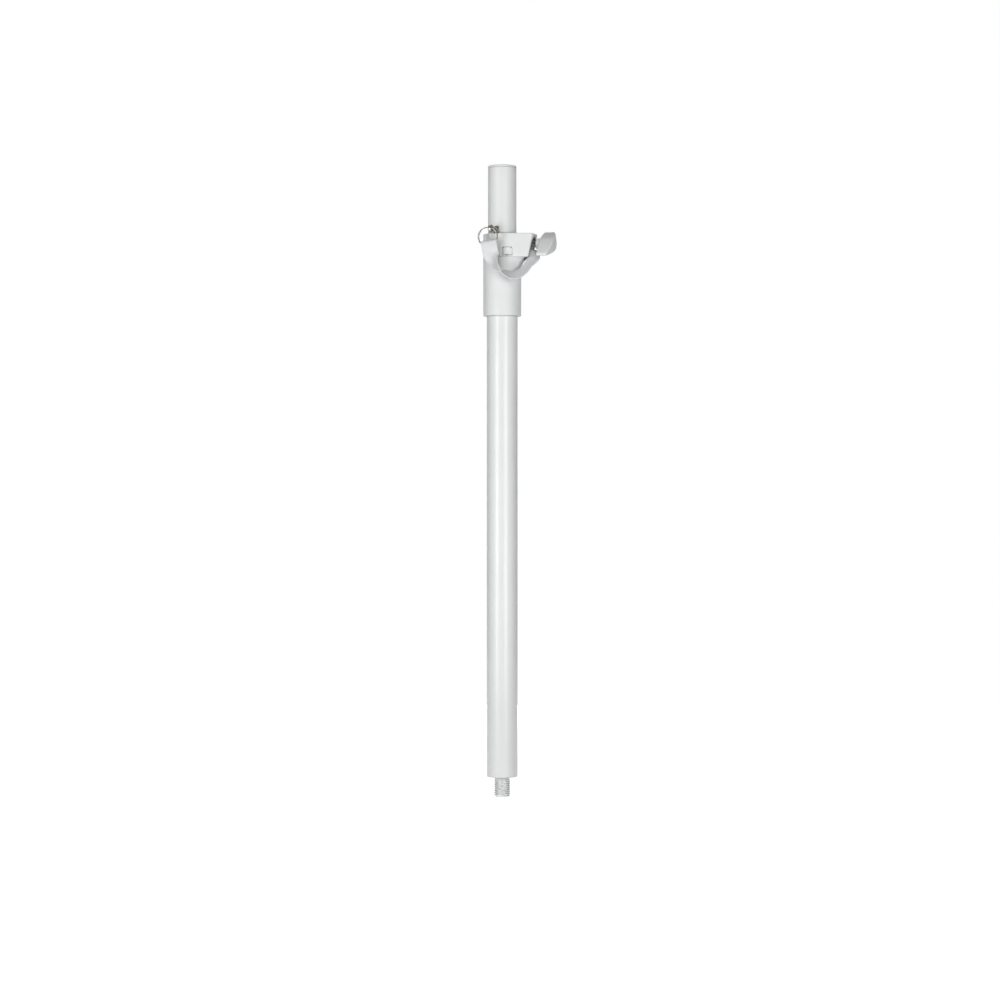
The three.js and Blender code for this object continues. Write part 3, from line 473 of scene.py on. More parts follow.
def put(name, mesh, material, body, nodes, crease=32):
    """Makes the piece, shades it smooth with edges sharper than crease degrees kept, and lets it
    stand for the frame's nodes. A piece that would bend between two bodies is given no body and
    stays unattached."""
    mesh.name = name
    mesh.materials.clear()
    mesh.materials.append(material)
    mesh.shade_smooth()
    mesh.set_sharp_from_angle(angle=math.radians(crease))
    piece = in_scene(name, mesh)
    if body:
        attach(piece, body)
    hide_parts(*nodes)
    print(name, "has", len(mesh.polygons), "faces")
    return piece


def turned_mesh(name, profile, sides, place=None):
    """A mesh of a spun profile, moved by place if it is given."""
    return mesh_of(name, [shell(spun(profile, sides), place)])


# %% [markdown]
# ## The fixed tube and its foot
#
# The fixed tube is 38 mm steel with a thin wall. Its lower end is faced square and its edge
# is broken, so a soft rim of light runs round it. The plug, washer and nut inside hold the
# stud, and only the plug's end shows.

# %% Fixed tube and plug
BASE_R, BASE_BORE, BASE_LENGTH, BASE_EDGE = 19.0, 17.8, 638.0, 1.0
SCREW_HEIGHTS = (580.0, 616.0)
SCREW_BORE_R, SCREW_BORE_END = 2.1, 26.0
PLUG_R, PLUG_BORE, PLUG_TALL = 17.5, 10.3, 30.0


def behind(height):
    """A function that lays points made along +Z onto a screw at the back, along +Y."""
    def place(points):
        x, y, z = points.T
        return np.stack([x, z, height - y], 1)
    return place


def screw_bore(height):
    """The hole of a screw in the back of the pole."""
    profile = [(0, 0), (SCREW_BORE_R, 0), (SCREW_BORE_R, SCREW_BORE_END), (0, SCREW_BORE_END)]
    return turned_mesh("bore", profile, 24, behind(height))


# The wall's section goes up the outside, over the top, down the bore and back.
wall = rounded([(BASE_R - BASE_EDGE, 0), (BASE_R, 0), (BASE_R, BASE_LENGTH),
                (BASE_BORE, BASE_LENGTH), (BASE_BORE, 0), (BASE_R - BASE_EDGE, 0)],
               [BASE_EDGE, 0.3, 0.3, 0.2], 5)
base_tube = cut(turned_mesh("lower_tube", wall, 160), [screw_bore(z) for z in SCREW_HEIGHTS])
put("fixed_tube", base_tube, gloss_powder_coat, "root", ["lower_tube"])

plug = rounded([(PLUG_BORE, 0.4), (PLUG_BORE, 0), (PLUG_R, 0), (PLUG_R, PLUG_TALL),
                (PLUG_BORE, PLUG_TALL), (PLUG_BORE, 0.4)], 0.5)
put("plug", turned_mesh("plug", plug, 96), zinc_plate, "root", ["base_plug"])

# %% [markdown]
# ## The M20 stud
#
# The stud has a coarse thread, 20 mm across with a 2.5 mm pitch. A thread can be swept as a
# coil, but a screw is better as one skin: the radius of a rod that falls and rises with the
# height, less the share of a turn already made. Both ends are chamfered, which the thread
# runs out into, and the lower end has a driver's slot.

# %% Thread
def threaded(radius, depth, pitch, low, high, chamfer, steps, sides):
    """r(a, z) = radius - depth * v, where v is how far z/pitch - a/turn lies from a crest, as
    a triangle wave with its crest and root cut flat, and r never passes the end chamfers."""
    rows = int((high - low) / pitch * steps)
    z = np.linspace(low, high, rows + 1)[:, None]
    angle = (np.arange(sides) * 2 * math.pi / sides)[None, :]
    phase = (z / pitch - angle / (2 * math.pi)) % 1
    wave = np.abs(phase - 0.5) * 2
    v = np.clip((wave - 0.125) / (0.875 - 0.125), 0, 1)
    r = radius - depth * v
    r = np.minimum(r, radius - chamfer + np.minimum(z - low, high - z))
    grid = np.stack([r * np.cos(angle), r * np.sin(angle), z + 0 * angle], 2)
    cap = np.zeros((1, sides, 3))
    bottom, top = cap.copy(), cap.copy()
    bottom[..., 2], top[..., 2] = low, high
    return np.concatenate([bottom, grid, top])


def box_mesh(low, high, place=None):
    """A box between two corners as a closed mesh."""
    low, high = np.array(low, float), np.array(high, float)
    pick = np.array([[0, 0, 0], [1, 0, 0], [1, 1, 0], [0, 1, 0],
                     [0, 0, 1], [1, 0, 1], [1, 1, 1], [0, 1, 1]])
    faces = np.array([[0, 3, 2, 1], [4, 5, 6, 7], [0, 1, 5, 4],
                      [1, 2, 6, 5], [2, 3, 7, 6], [3, 0, 4, 7]])
    points = low + pick * (high - low)
    return mesh_of("box", [(place(points) if place else points, faces)])


def about_z(degrees):
    """A function that turns points about the upright axis."""
    a = math.radians(degrees)
    turn = np.array([[math.cos(a), math.sin(a), 0], [-math.sin(a), math.cos(a), 0], [0, 0, 1]])
    return lambda points: points @ turn


STUD_R, STUD_LOW, STUD_HIGH, STUD_CHAMFER = 10.0, -24.4, 44.7, 1.7
STUD_PITCH, STUD_THREAD_DEPTH = 2.5, 1.35
SLOT_HALF, SLOT_DEPTH, SLOT_TURN = 1.2, 2.2, 29

stud = mesh_of("stud", [shell(threaded(
    STUD_R, STUD_THREAD_DEPTH, STUD_PITCH, STUD_LOW, STUD_HIGH, STUD_CHAMFER, 16, 96))])
slot = box_mesh((-SLOT_HALF, -STUD_R - 2, STUD_LOW - 2),
                (SLOT_HALF, STUD_R + 2, STUD_LOW + SLOT_DEPTH), about_z(SLOT_TURN))
put("stud", cut(stud, [slot]), zinc_plate, "root", ["threaded_stud"], 75)

# %% [markdown]
# ## The sliding tube and its cap
#
# The sliding tube is 35 mm across and has a row of holes for the locking pin, 40 mm apart.
# A boolean could drill them, but it leaves long thin faces that spoil the shading. Here the
# tube's own grid is drawn onto each hole: a square block of cells is pulled out to the
# hole's circle, and its cells are left out.

# %% Sliding tube
SLIDE_R, SLIDE_BORE = 17.5, 16.0
SLIDE_LOW, SLIDE_HIGH = 60.0, 748.1
PIN_TURN = 9.0                    # degrees, from the front, away from the knob
PIN_RISE, HOLE_PITCH, HOLE_COUNT, HOLE_R = 670.9, 40.0, 13, 3.7
HOLE_HEIGHTS = PIN_RISE - HOLE_PITCH * np.arange(HOLE_COUNT)
BLOCK = 3                         # cells from a hole's middle to the edge of its block


def drilled_tube(columns=96):
    """A point (s, z) of the wall, unrolled about a hole's middle, has the square distance
    m = max(|s|, |z|) and the round one e. It is moved to the round distance
    e' = mix(m * hole / block, e, ease), where ease goes from 0 at the block to 1 at twice it."""
    cell = 2 * math.pi * SLIDE_R / columns
    near = np.arange(-2 * BLOCK, 2 * BLOCK + 1) * cell
    rows = [SLIDE_LOW, SLIDE_LOW + 0.3]
    for hole in HOLE_HEIGHTS[::-1]:
        rows.extend(hole + near)
        rows.extend(hole + np.linspace(near[-1], HOLE_PITCH + near[0], 8)[1:-1])
    rows = np.array([z for z in rows if z < SLIDE_HIGH - 0.5])
    rows = np.unique(np.round(np.concatenate([rows, [SLIDE_HIGH - 0.3, SLIDE_HIGH]]), 4))
    start = -math.pi / 2 - math.radians(PIN_TURN)
    arc = start + np.arange(columns) * 2 * math.pi / columns
    s = np.arange(columns) * cell
    half_turn = columns * cell / 2
    ds = (s + half_turn / 2) % half_turn - half_turn / 2
    dz = rows[:, None] - HOLE_HEIGHTS[None, :]
    dz = dz[np.arange(len(rows)), np.abs(dz).argmin(1)]
    ds, dz = np.broadcast_arrays(ds[None, :], dz[:, None])
    square = np.maximum(np.abs(ds), np.abs(dz))
    round_ = np.hypot(ds, dz)
    block = BLOCK * cell
    ease = np.clip((square - block) / block, 0, 1)
    ease = ease * ease * (3 - 2 * ease)
    wanted = (1 - ease) * square * HOLE_R / block + ease * round_
    share = np.where(round_ > 1e-9, wanted / np.maximum(round_, 1e-9), 1)
    new_z = rows[:, None] + (share - 1) * dz
    angle = arc[None, :] + (share - 1) * ds / SLIDE_R
    # A known fault: the rounded rows lie just inside the block, so its top and bottom rows
    # count as open too, and each hole is a row of cells taller than its circle at both ends.
    return angle, new_z, square < block - 1e-6


def sliding_tube():
    """Both walls take the same grid, (r cos a, r sin a, z) with the angles and heights of the
    drilled tube. Quads join the walls at the rims of the holes and at both ends."""
    angle, z, open_ = drilled_tube()
    rows, columns = z.shape
    walls = [np.stack([r * np.cos(angle), r * np.sin(angle), z], 2)
             for r in (SLIDE_R, SLIDE_BORE)]
    faces = grid_faces(rows, columns)
    hit = open_.ravel()[faces].any(1)
    kept, gone = faces[~hit], faces[hit]
    inner = kept[:, ::-1] + rows * columns
    edges = np.concatenate([gone[:, [i, (i + 1) % 4]] for i in range(4)])
    key = np.sort(edges, 1)
    _, index, count = np.unique(key, axis=0, return_index=True, return_counts=True)
    rim = edges[index[count == 1]]
    bores = np.stack([rim[:, 0], rim[:, 1], rim[:, 1] + rows * columns,
                      rim[:, 0] + rows * columns], 1)
    ends = []
    for row in (0, rows - 1):
        c = np.arange(columns)
        a, b = row * columns + c, row * columns + (c + 1) % columns
        ends.append(np.stack([a, b, b + rows * columns, a + rows * columns], 1))
    points = np.concatenate([w.reshape(-1, 3) for w in walls])
    return mesh_of("sliding_tube", [(points, np.concatenate([kept, inner, bores, *ends]))])


put("sliding_tube", sliding_tube(), satin_powder_coat, "sliding_tube", ["upper_tube"],
    40)

# %% Cap
CAP_SEAT, CAP_TOP = 748.4, 751.0
SPIGOT_R, SPIGOT_BORE, SPIGOT_FOOT = 15.7, 13.7, 734.1

cap_profile = rounded([
    (0, CAP_SEAT), (SPIGOT_BORE, CAP_SEAT), (SPIGOT_BORE, SPIGOT_FOOT), (SPIGOT_R, SPIGOT_FOOT),
    (SPIGOT_R, CAP_SEAT), (SLIDE_R, CAP_SEAT), (SLIDE_R, CAP_TOP), (0, CAP_TOP)],
    [0, 0, 0.4, 0, 0.2, 1.9], 7)
put("cap", turned_mesh("cap", cap_profile, 160), white_abs, "sliding_tube", ["tube_cap"])

# %% [markdown]
# ## The clamp sleeve
#
# The sleeve is one moulding: a barrel, and a wedge-shaped bracket that carries the clamp
# screw. Seen from above, the bracket's sides leave the barrel along its tangents and end in
# a narrow end that leans back. Blocks and cylinders could be joined, but then the corners
# where the tangents meet the barrel would show as creases. A single outline that goes
# from the bracket's end, round its corner, along its side and round the barrel makes each
# height of the moulding one row of a grid.

# %% Sleeve
SLEEVE_R, SLEEVE_FOOT, SLEEVE_TOP = 23.35, 566.0, 666.6
BRACKET_FOOT, BRACKET_HEIGHT, BRACKET_REACH = 637.6, 29.0, 41.766
END_HALF, END_FALL, CORNER_R = 11.65, 5.7, 2.0
SCREW_RISE = 653.8
MOUTH_R, MOUTH_DEPTH, SOCKET_R = 17.8, 3.0, 19.3
TANGENT = math.atan2(END_HALF, BRACKET_REACH) + math.acos(
    SLEEVE_R / math.hypot(END_HALF, BRACKET_REACH))
CORBEL_FOOT, CORBEL_TOP = 621.4, 638.4


def outline(height, inset):
    """Half of the sleeve seen from above, for arrays of heights and insets. The end lies at
    x = reach - fall * (top - z) / height; the side is the line x cos t + y sin t = R; the
    corner between them is an arc of radius c about the point that lies c inside both."""
    height, inset = (np.asarray(a, float)[:, None] for a in (height, inset))
    radius = SLEEVE_R - inset
    reach = BRACKET_REACH - END_FALL * (SLEEVE_TOP - height) / BRACKET_HEIGHT - inset
    cos, sin = math.cos(TANGENT), math.sin(TANGENT)
    corner_x = reach - CORNER_R
    corner_y = (radius - CORNER_R - corner_x * cos) / sin
    along = np.linspace(0, 1, 8, endpoint=False)
    end = np.stack([reach + 0 * along, corner_y * along], 2)
    turn = np.linspace(0, TANGENT, 10, endpoint=False)
    corner = np.stack([corner_x + CORNER_R * np.cos(turn), corner_y + CORNER_R * np.sin(turn)], 2)
    along = np.linspace(0, 1, 20, endpoint=False)
    start = np.stack([corner_x + CORNER_R * cos, corner_y + CORNER_R * sin], 2)
    stop = np.stack([radius * cos, radius * sin], 2)
    side = start + (stop - start) * along[None, :, None]
    turn = np.linspace(TANGENT, math.pi, 60)
    barrel = np.stack([radius * np.cos(turn), radius * np.sin(turn)], 2)
    return np.concatenate([end, corner, side, barrel], 1)


def whole_outline(height, inset):
    """The half outline and its mirror image, as one loop."""
    half = outline(height, inset)
    mirror = half[:, -2:0:-1] * np.array([1, -1])
    return np.concatenate([half, mirror], 1)


def sleeve_rows():
    """Height, inset and share of the bracket for each row of the outside, from the foot up.
    Under the bracket the share grows as 1 - cos t while the height rises as sin t."""
    edge = 0.9
    turn = np.linspace(0, math.pi / 2, 5)
    rows = [(SLEEVE_FOOT + edge * (1 - math.cos(t)), edge * (1 - math.sin(t)), 0.0) for t in turn]
    rows += [(z, 0.0, 0.0) for z in np.linspace(575, CORBEL_FOOT, 6)]
    tall = CORBEL_TOP - CORBEL_FOOT
    stop = math.asin(1 - (CORBEL_TOP - BRACKET_FOOT) / tall)
    rows += [(CORBEL_FOOT + tall * math.sin(t), 0.0, 0.88 * (1 - math.cos(t)))
             for t in np.linspace(0, stop, 16)[1:]]
    rows += [(BRACKET_FOOT + edge * (1 - math.cos(t)), edge * (1 - math.sin(t)), 1.0)
             for t in turn]
    rows += [(z, 0.0, 1.0) for z in np.linspace(BRACKET_FOOT + 4, SLEEVE_TOP - 4, 6)]
    rows += [(SLEEVE_TOP - edge * (1 - math.cos(t)), edge * (1 - math.sin(t)), 1.0)
             for t in turn[::-1]]
    return np.array(rows)


def sleeve_grid():
    """The outside goes from the round foot to the bracket's outline, plan, by each row's
    share: p = round + (plan - round) * share. The bore follows, from the top down."""
    height, inset, share = sleeve_rows().T
    plan = whole_outline(np.maximum(height, BRACKET_FOOT), inset)
    way = plan / np.linalg.norm(plan, axis=2, keepdims=True)
    round_ = way * (SLEEVE_R - inset)[:, None, None]
    outside = round_ + (plan - round_) * share[:, None, None]
    outside = np.concatenate([outside, np.broadcast_to(height[:, None, None],
                                                       (*outside.shape[:2], 1))], 2)
    mouth = SLEEVE_TOP - MOUTH_DEPTH
    bore = [(MOUTH_R, SLEEVE_TOP), (MOUTH_R, mouth), (SOCKET_R, mouth), (SOCKET_R, SLEEVE_FOOT)]
    inside = [np.concatenate([way[-1] * r, np.full((way.shape[1], 1), z)], 1) for r, z in bore]
    return np.concatenate([outside, np.array(inside)])


def on_screw(points):
    """Lays points that were made along +Z onto the clamp screw, along +X."""
    x, y, z = points.T
    return np.stack([z, y, SCREW_RISE - x], 1)


# %% Pockets of the sleeve
RECESS_START, RECESS_END, RECESS_R, CHANNEL_HALF = 34.75, 46.0, 8.5, 8.2
NUT_LOW, NUT_HIGH, NUT_R, NUT_HALF = 26.45, 33.55, 7.85, 6.8
PAD_LOW, PAD_HIGH, PAD_HALF, PAD_HALF_TALL = 14.0, 25.25, 6.8, 7.3
PASSAGE_R = 4.3                   # the clamp screw's, in all that it goes through
UNDER = CORBEL_FOOT - 4


def rod_mesh(name, radius, low, high, sides=48):
    """A closed rod along the clamp screw."""
    return turned_mesh(name, [(0, low), (radius, low), (radius, high), (0, high)], sides, on_screw)


pockets = [
    rod_mesh("recess", RECESS_R, RECESS_START, RECESS_END, 64),
    rod_mesh("passage", PASSAGE_R, 16, 40),
    rod_mesh("nut_roof", NUT_R, NUT_LOW, NUT_HIGH, 6),
    box_mesh((NUT_LOW, -NUT_HALF, UNDER), (NUT_HIGH, NUT_HALF, SCREW_RISE)),
    box_mesh((RECESS_START, -CHANNEL_HALF, UNDER), (RECESS_END, CHANNEL_HALF, SCREW_RISE)),
    box_mesh((PAD_LOW, -PAD_HALF, SCREW_RISE - PAD_HALF_TALL),
             (PAD_HIGH, PAD_HALF, SCREW_RISE + PAD_HALF_TALL)),
    *[screw_bore(z) for z in SCREW_HEIGHTS],
]
sleeve = cut(mesh_of("sleeve", [shell(sleeve_grid(), loop_rows=True)]), pockets)

# %% Bulge on the bracket's face
def bulge():
    """A half-round bar with an arched top: for u across and v up, it stands out by
    rise * (1 - u^2)^(3/4), and its top edge falls as sqrt(1 - u^2)."""
    half_width, tall, rise, aside, lift = 6.3, 9.9, 1.7, 5.6, 2.2
    u = np.sin(np.linspace(-math.pi / 2, math.pi / 2, 25))[None, :]
    v = np.linspace(0, 1, 21)[:, None]
    top = tall * (0.72 + 0.28 * np.sqrt(1 - u ** 2))
    soft = np.clip(np.minimum(v, 1 - v) / 0.1, 0, 1)
    out = rise * (1 - u ** 2) ** 0.75 * np.sqrt(soft * (2 - soft))
    s = aside + half_width * u + 0 * v
    z = BRACKET_FOOT + lift + v * top
    front = np.stack([s, -SLEEVE_R - out, z], 2)
    back = np.stack([s, -SLEEVE_R + 1 + 0 * out, z], 2)
    grid = np.concatenate([front, back[::-1]])
    return shell(grid, about_z(90 - math.degrees(TANGENT)), loop_rows=True, loop_columns=False)


sleeve = cut(sleeve, [mesh_of("bulge", [bulge()])], "UNION")
put("clamp_moulding", sleeve, white_abs, "root", ["clamp_sleeve"], 38)

# %% [markdown]
# ## Screws at the back
#
# Two pan-head screws hold the sleeve on the fixed tube. Their heads are low domes with a cross
# recess, which is cut by two crossed straight bars.

# %% Back screws
SHANK_R, HEAD_R, HEAD_TALL = 1.8, 3.5, 2.2
CROSS_HALF, CROSS_REACH, CROSS_FLOOR = 0.4, 1.7, 1.1


def pan_head(height):
    """A shank and a low dome, as rows (radius, distance from the pole's axis), spun round.
    The two bars leave a cross whose floor lies above the head's seat."""
    seat = SLEEVE_R + 0.3
    top = seat + HEAD_TALL
    profile = rounded([(0, BASE_BORE), (SHANK_R, BASE_BORE), (SHANK_R, seat), (HEAD_R, seat),
                       (HEAD_R, seat + 1.5), (2.2, top), (0, top)], [0.2, 0, 0.2, 0.7, 0.8], 5)
    head = turned_mesh("screw", profile, 48, behind(height))
    bars = [box_mesh((-x, -y, seat + CROSS_FLOOR), (x, y, seat + 4), behind(height))
            for x, y in ((CROSS_HALF, CROSS_REACH), (CROSS_REACH, CROSS_HALF))]
    return cut(head, bars)


for number, height in enumerate(SCREW_HEIGHTS, 1):
    put(f"back_screw_{number}", pan_head(height), zinc_plate, "root",
        [f"sleeve_screw_{number}"])

# %% [markdown]
# ## Clamp screw and lug washer
#
# The knob drives an M8 screw. A short stretch of its thread shows in the gap between the
# bracket and the knob. A small washer keeps the strap's lug in the recess behind it.

# %% Clamp screw and lug washer
KNOB_START = 43.3
M8_R, M8_THREAD_DEPTH, M8_PITCH, M8_CHAMFER = 4.0, 0.7, 1.25, 0.6
M8_LOW, M8_HIGH = 23.4, 58.0
NOSE_LOW, NOSE_R = 20.1, 2.8
WASHER_R, WASHER_LOW, WASHER_HIGH, WASHER_SEAM = 6.5, 36.85, 38.05, 37.4

nose = [(0, NOSE_LOW), (NOSE_R - 0.2, NOSE_LOW), (NOSE_R, NOSE_LOW + 0.2),
        (NOSE_R, M8_LOW + 0.2), (0, M8_LOW + 0.2)]
m8 = mesh_of("m8_screw", [
    shell(threaded(M8_R, M8_THREAD_DEPTH, M8_PITCH, M8_LOW, M8_HIGH, M8_CHAMFER, 8, 48), on_screw),
    shell(spun(nose, 48), on_screw)])
# The screw's dark zinc is painted shade for the recess.
put("m8_screw", m8, zinc_darkened_as_shade, "knob", ["clamp_screw"])
washer = rounded([(PASSAGE_R, WASHER_SEAM), (PASSAGE_R, WASHER_LOW), (WASHER_R, WASHER_LOW),
                  (WASHER_R, WASHER_HIGH), (PASSAGE_R, WASHER_HIGH), (PASSAGE_R, WASHER_SEAM)],
                 0.2, 3)
# The washer's dark zinc is painted shade for the recess.
put("flat_washer", turned_mesh("flat_washer", washer, 64, on_screw), zinc_darkened_as_shade, "root",
    ["lug_washer"])

# %% [markdown]
# ## Wing knob
#
# The knob is a T: a round hub with a coned nose, and a wing that is thick in the middle, thin
# at its round tips and crowned at its outer end. The wing is one skin, carried round its lens
# outline: each row is the outline drawn in by some distance at some place along the screw.

# %% Wing knob
WING_HALF, SPINE_HALF, WING_TURN = 27.0, 25.7, 56.0
WING_START = KNOB_START + 5.7
HUB_R, HUB_TIP_R, HUB_CONE = 7.0, 5.5, 1.6


def lens(points=41, round_points=11):
    """The outline |q| = t(p) = 8 - 6 s(p) for |p| <= P, where s = 0.4 (p/P)^2 + 0.6 h and h is
    a straight taper with a soft middle, (sqrt(p^2 + 9) - 3) / (sqrt(P^2 + 9) - 3). An arc of
    radius t(P) / sin v goes round each tip, where v is the angle of the outline's normal
    there. Gives the outline, its normals and the nearest places on the spine."""
    p = np.linspace(1, -1, points) * SPINE_HALF
    most = math.hypot(SPINE_HALF, 3) - 3
    fall = 0.4 * (p / SPINE_HALF) ** 2 + 0.6 * (np.hypot(p, 3) - 3) / most
    side = np.stack([p, 8 - 6 * fall], 1)
    slope = 0.8 * p / SPINE_HALF ** 2 + 0.6 * p / np.hypot(p, 3) / most
    normal = np.stack([6 * slope, np.ones(points)], 1)
    normal /= np.linalg.norm(normal, axis=1, keepdims=True)
    v = math.atan2(normal[0, 1], normal[0, 0])
    radius = side[0, 1] / math.sin(v)
    middle = SPINE_HALF - radius * math.cos(v)
    turn = np.linspace(-v, v, round_points)[1:-1]
    tip_normal = np.stack([np.cos(turn), np.sin(turn)], 1)
    tip = tip_normal * radius + np.array([middle, 0])
    spine = np.concatenate([np.full(len(turn), middle), np.clip(p, -middle, middle)])
    edge = np.concatenate([tip, side])
    way = np.concatenate([tip_normal, normal])
    spine = np.stack([spine, 0 * spine], 1)
    return [np.concatenate([half, -half]) for half in (edge, way, spine)]


def wing():
    """Row: an inset along the normals, a share f of the way from there to the spine, and a
    share of the way from the inner face a(p) = start - |p|/54 to the outer face
    b(p) = start + 12 + 6 (1 - (p/27)^2)."""
    edge, way, spine = lens()
    soft = np.linspace(0, math.pi / 2, 6)
    radius = 1.1
    inset = radius * (1 - np.sin(soft))
    push = radius * (1 - np.cos(soft))
    inset = np.concatenate([[radius] * 3, inset, [0, 0], inset[::-1], [radius] * 3])
    push = np.concatenate([[0, 0, 0], push, [0, 0], -push[::-1], [0, 0, 0]])
    fill = np.concatenate([[1, 0.66, 0.33], np.zeros(14), [0.33, 0.66, 1]])
    share = np.concatenate([np.zeros(9), [0.33, 0.66], np.ones(9)])
    plan = edge[None] - way[None] * inset[:, None, None]
    plan = plan + (spine[None] - plan) * fill[:, None, None]
    p = plan[..., 0]
    inner = WING_START - np.abs(p) / WING_HALF / 2
    outer = WING_START + 12 + 6 * (1 - (p / WING_HALF) ** 2)
    along = inner + (outer - inner) * share[:, None] + push[:, None]
    return np.concatenate([plan, along[..., None]], 2)


def wing_turned(points):
    """Turns the knob about its screw, then lays it on the screw."""
    return on_screw(about_z(180 - WING_TURN)(points))


hub = rounded([(0, KNOB_START), (HUB_TIP_R, KNOB_START), (HUB_R, KNOB_START + HUB_CONE),
               (HUB_R, WING_START + 5), (0, WING_START + 5)], [0.5, 0.6, 0.3], 4)
knob = cut(mesh_of("knob", [shell(wing(), wing_turned)]),
           [turned_mesh("hub", hub, 96, on_screw)], "UNION")
knob = cut(knob, [rod_mesh("bore", PASSAGE_R, 40, KNOB_START + 15)])
put("wing_knob", knob, white_abs, "knob", ["clamp_knob"], 30)

# %% [markdown]
# ## Locking pin and split ring
#
# The pin goes through both walls of the sliding tube and rests on the sleeve. Its head is a
# flat eye, and a small flange stops it against the tube. The split ring is one wire wound
# twice, which steps from one layer to the other beside its own ends.

# %% Locking pin
PIN_R, PIN_TAIL, PIN_TIP = 3.3, -23.5, 30.7
FLANGE_R, FLANGE_LOW, FLANGE_HIGH = 4.0, 17.8, 19.8
EYE_REACH, EYE_R, EYE_SHOULDER_R, EYE_HOLE_R, EYE_HALF = 34.2, 4.9, 4.84, 3.2, 1.7
pin_way = np.array([-math.sin(math.radians(PIN_TURN)), -math.cos(math.radians(PIN_TURN)), 0])
pin_side = np.array([math.cos(math.radians(PIN_TURN)), -math.sin(math.radians(PIN_TURN)), 0])


def on_pin(points):
    """Lays points that were made along +Z onto the pin: z outwards, x to the side, y up."""
    return (points[:, :1] * pin_side + points[:, 1:2] * np.array([0, 0, 1])
            + points[:, 2:] * pin_way + np.array([0, 0, PIN_RISE]))


pin = rounded([(0, PIN_TAIL), (2.2, PIN_TAIL), (PIN_R, -21.3), (PIN_R, FLANGE_LOW),
               (FLANGE_R, FLANGE_LOW), (FLANGE_R, FLANGE_HIGH), (PIN_R, FLANGE_HIGH),
               (PIN_R, 28), (1.7, PIN_TIP), (0, PIN_TIP)],
              [0.4, 0.8, 0, 0.3, 0.6, 0.5, 2.0, 0.5], 5)


def eye():
    """A ring about the pin's side axis, with a rounded section that is crowned outside: each
    section point (r, x) goes round as (x, r sin a, reach + r cos a)."""
    section = rounded([(EYE_HOLE_R, 0), (EYE_HOLE_R, -EYE_HALF), (EYE_SHOULDER_R, -EYE_HALF),
                       (EYE_R, 0), (EYE_SHOULDER_R, EYE_HALF), (EYE_HOLE_R, EYE_HALF),
                       (EYE_HOLE_R, 0)], [0.5, 0.45, 1.2, 0.45, 0.5], 5)[:-1]
    turn = np.arange(72) * 2 * math.pi / 72
    r, across = section.T[:, :, None]
    ring = np.stack([across + 0 * turn, r * np.sin(turn), EYE_REACH + r * np.cos(turn)], 2)
    return shell(ring, on_pin, loop_rows=True)


pull_pin = mesh_of("pull_pin", [shell(spun(pin, 48), on_pin), eye()])
put("pull_pin", pull_pin, nickel_plate, "pin", ["locking_pin"])

# %% Split ring
RING_R, WIRE_R, RING_PITCH, RING_RISE = 11.75, 0.75, 1.95, 1.1
RING_STEP_ANGLE, RING_STEP_SHARE = math.radians(-24), 0.06
RING_FACING, RING_LEAN = math.radians(-3), math.radians(18)
ring_out = np.array([-math.sin(RING_FACING), -math.cos(RING_FACING), 0])
ring_along = np.array([math.cos(RING_FACING), -math.sin(RING_FACING), 0])
eye_middle = pin_way * EYE_REACH + np.array([0, 0, PIN_RISE])
ring_middle = (eye_middle - ring_along * RING_R * math.sin(RING_LEAN)
               + np.array([0, 0, RING_RISE - RING_R * math.cos(RING_LEAN)]))


def split_ring(steps=220, sides=14):
    """The wire's middle at turn n is (R sin a, pitch * (e - 1/2), R cos a), where a is n turns
    and e eases from 0 to 1 round the first full turn. The wire's section is a circle."""
    turn = RING_STEP_SHARE + np.linspace(0, 1, steps) * 2 * (1 - RING_STEP_SHARE)
    angle = turn * 2 * math.pi + RING_STEP_ANGLE
    ease = np.clip((turn - 1 + RING_STEP_SHARE) / (2 * RING_STEP_SHARE), 0, 1)
    ease = ease * ease * (3 - 2 * ease)
    round_end = WIRE_R * np.sqrt(1 - np.clip(
        1 - np.minimum(np.arange(steps), steps - 1 - np.arange(steps)) / 2, 0, 1) ** 2)
    around = np.arange(sides) * 2 * math.pi / sides
    radius = RING_R + round_end[:, None] * np.cos(around)
    lift = RING_PITCH * (ease - 0.5)[:, None] + round_end[:, None] * np.sin(around)
    points = (radius * np.sin(angle)[:, None])[..., None] * ring_along \
        - lift[..., None] * ring_out \
        + (radius * np.cos(angle)[:, None])[..., None] * np.array([0, 0, 1])
    return points + ring_middle


put("key_ring", mesh_of("key_ring", [shell(split_ring())]), nickel_plate, "ring",
    ["split_ring"])

# %% [markdown]
# ## Strap
#
# The strap is a flat vinyl band. One end is a lug on the clamp screw, the other is folded over the
# ring and welded to itself, which leaves a thin groove. In between it hangs in a curl and turns
# over. It is a rounded-rectangle section carried along a smooth curve, with its width direction
# given at each station. On the real pole the band bends as the pin is pulled and its loop swings
# with the ring, so it is made as two pieces that meet in the curl. Neither piece is given a body,
# and neither is bent here.

# %% Strap route
STRAP_W, STRAP_T, LUG_W, LUG_X = 18.5, 1.5, 14.4, 35.8
LOOP_RISE, LOOP_TURN, SEAM_DROP, TAIL_DROP = 4.3, math.radians(9), 8.8, 2.5
NECK_DROP, LOOP_SPARE = 6.5, 1.1
UP = np.array([0, 0, 1.0])
SEAM, SPLIT = 11, 17              # station numbers
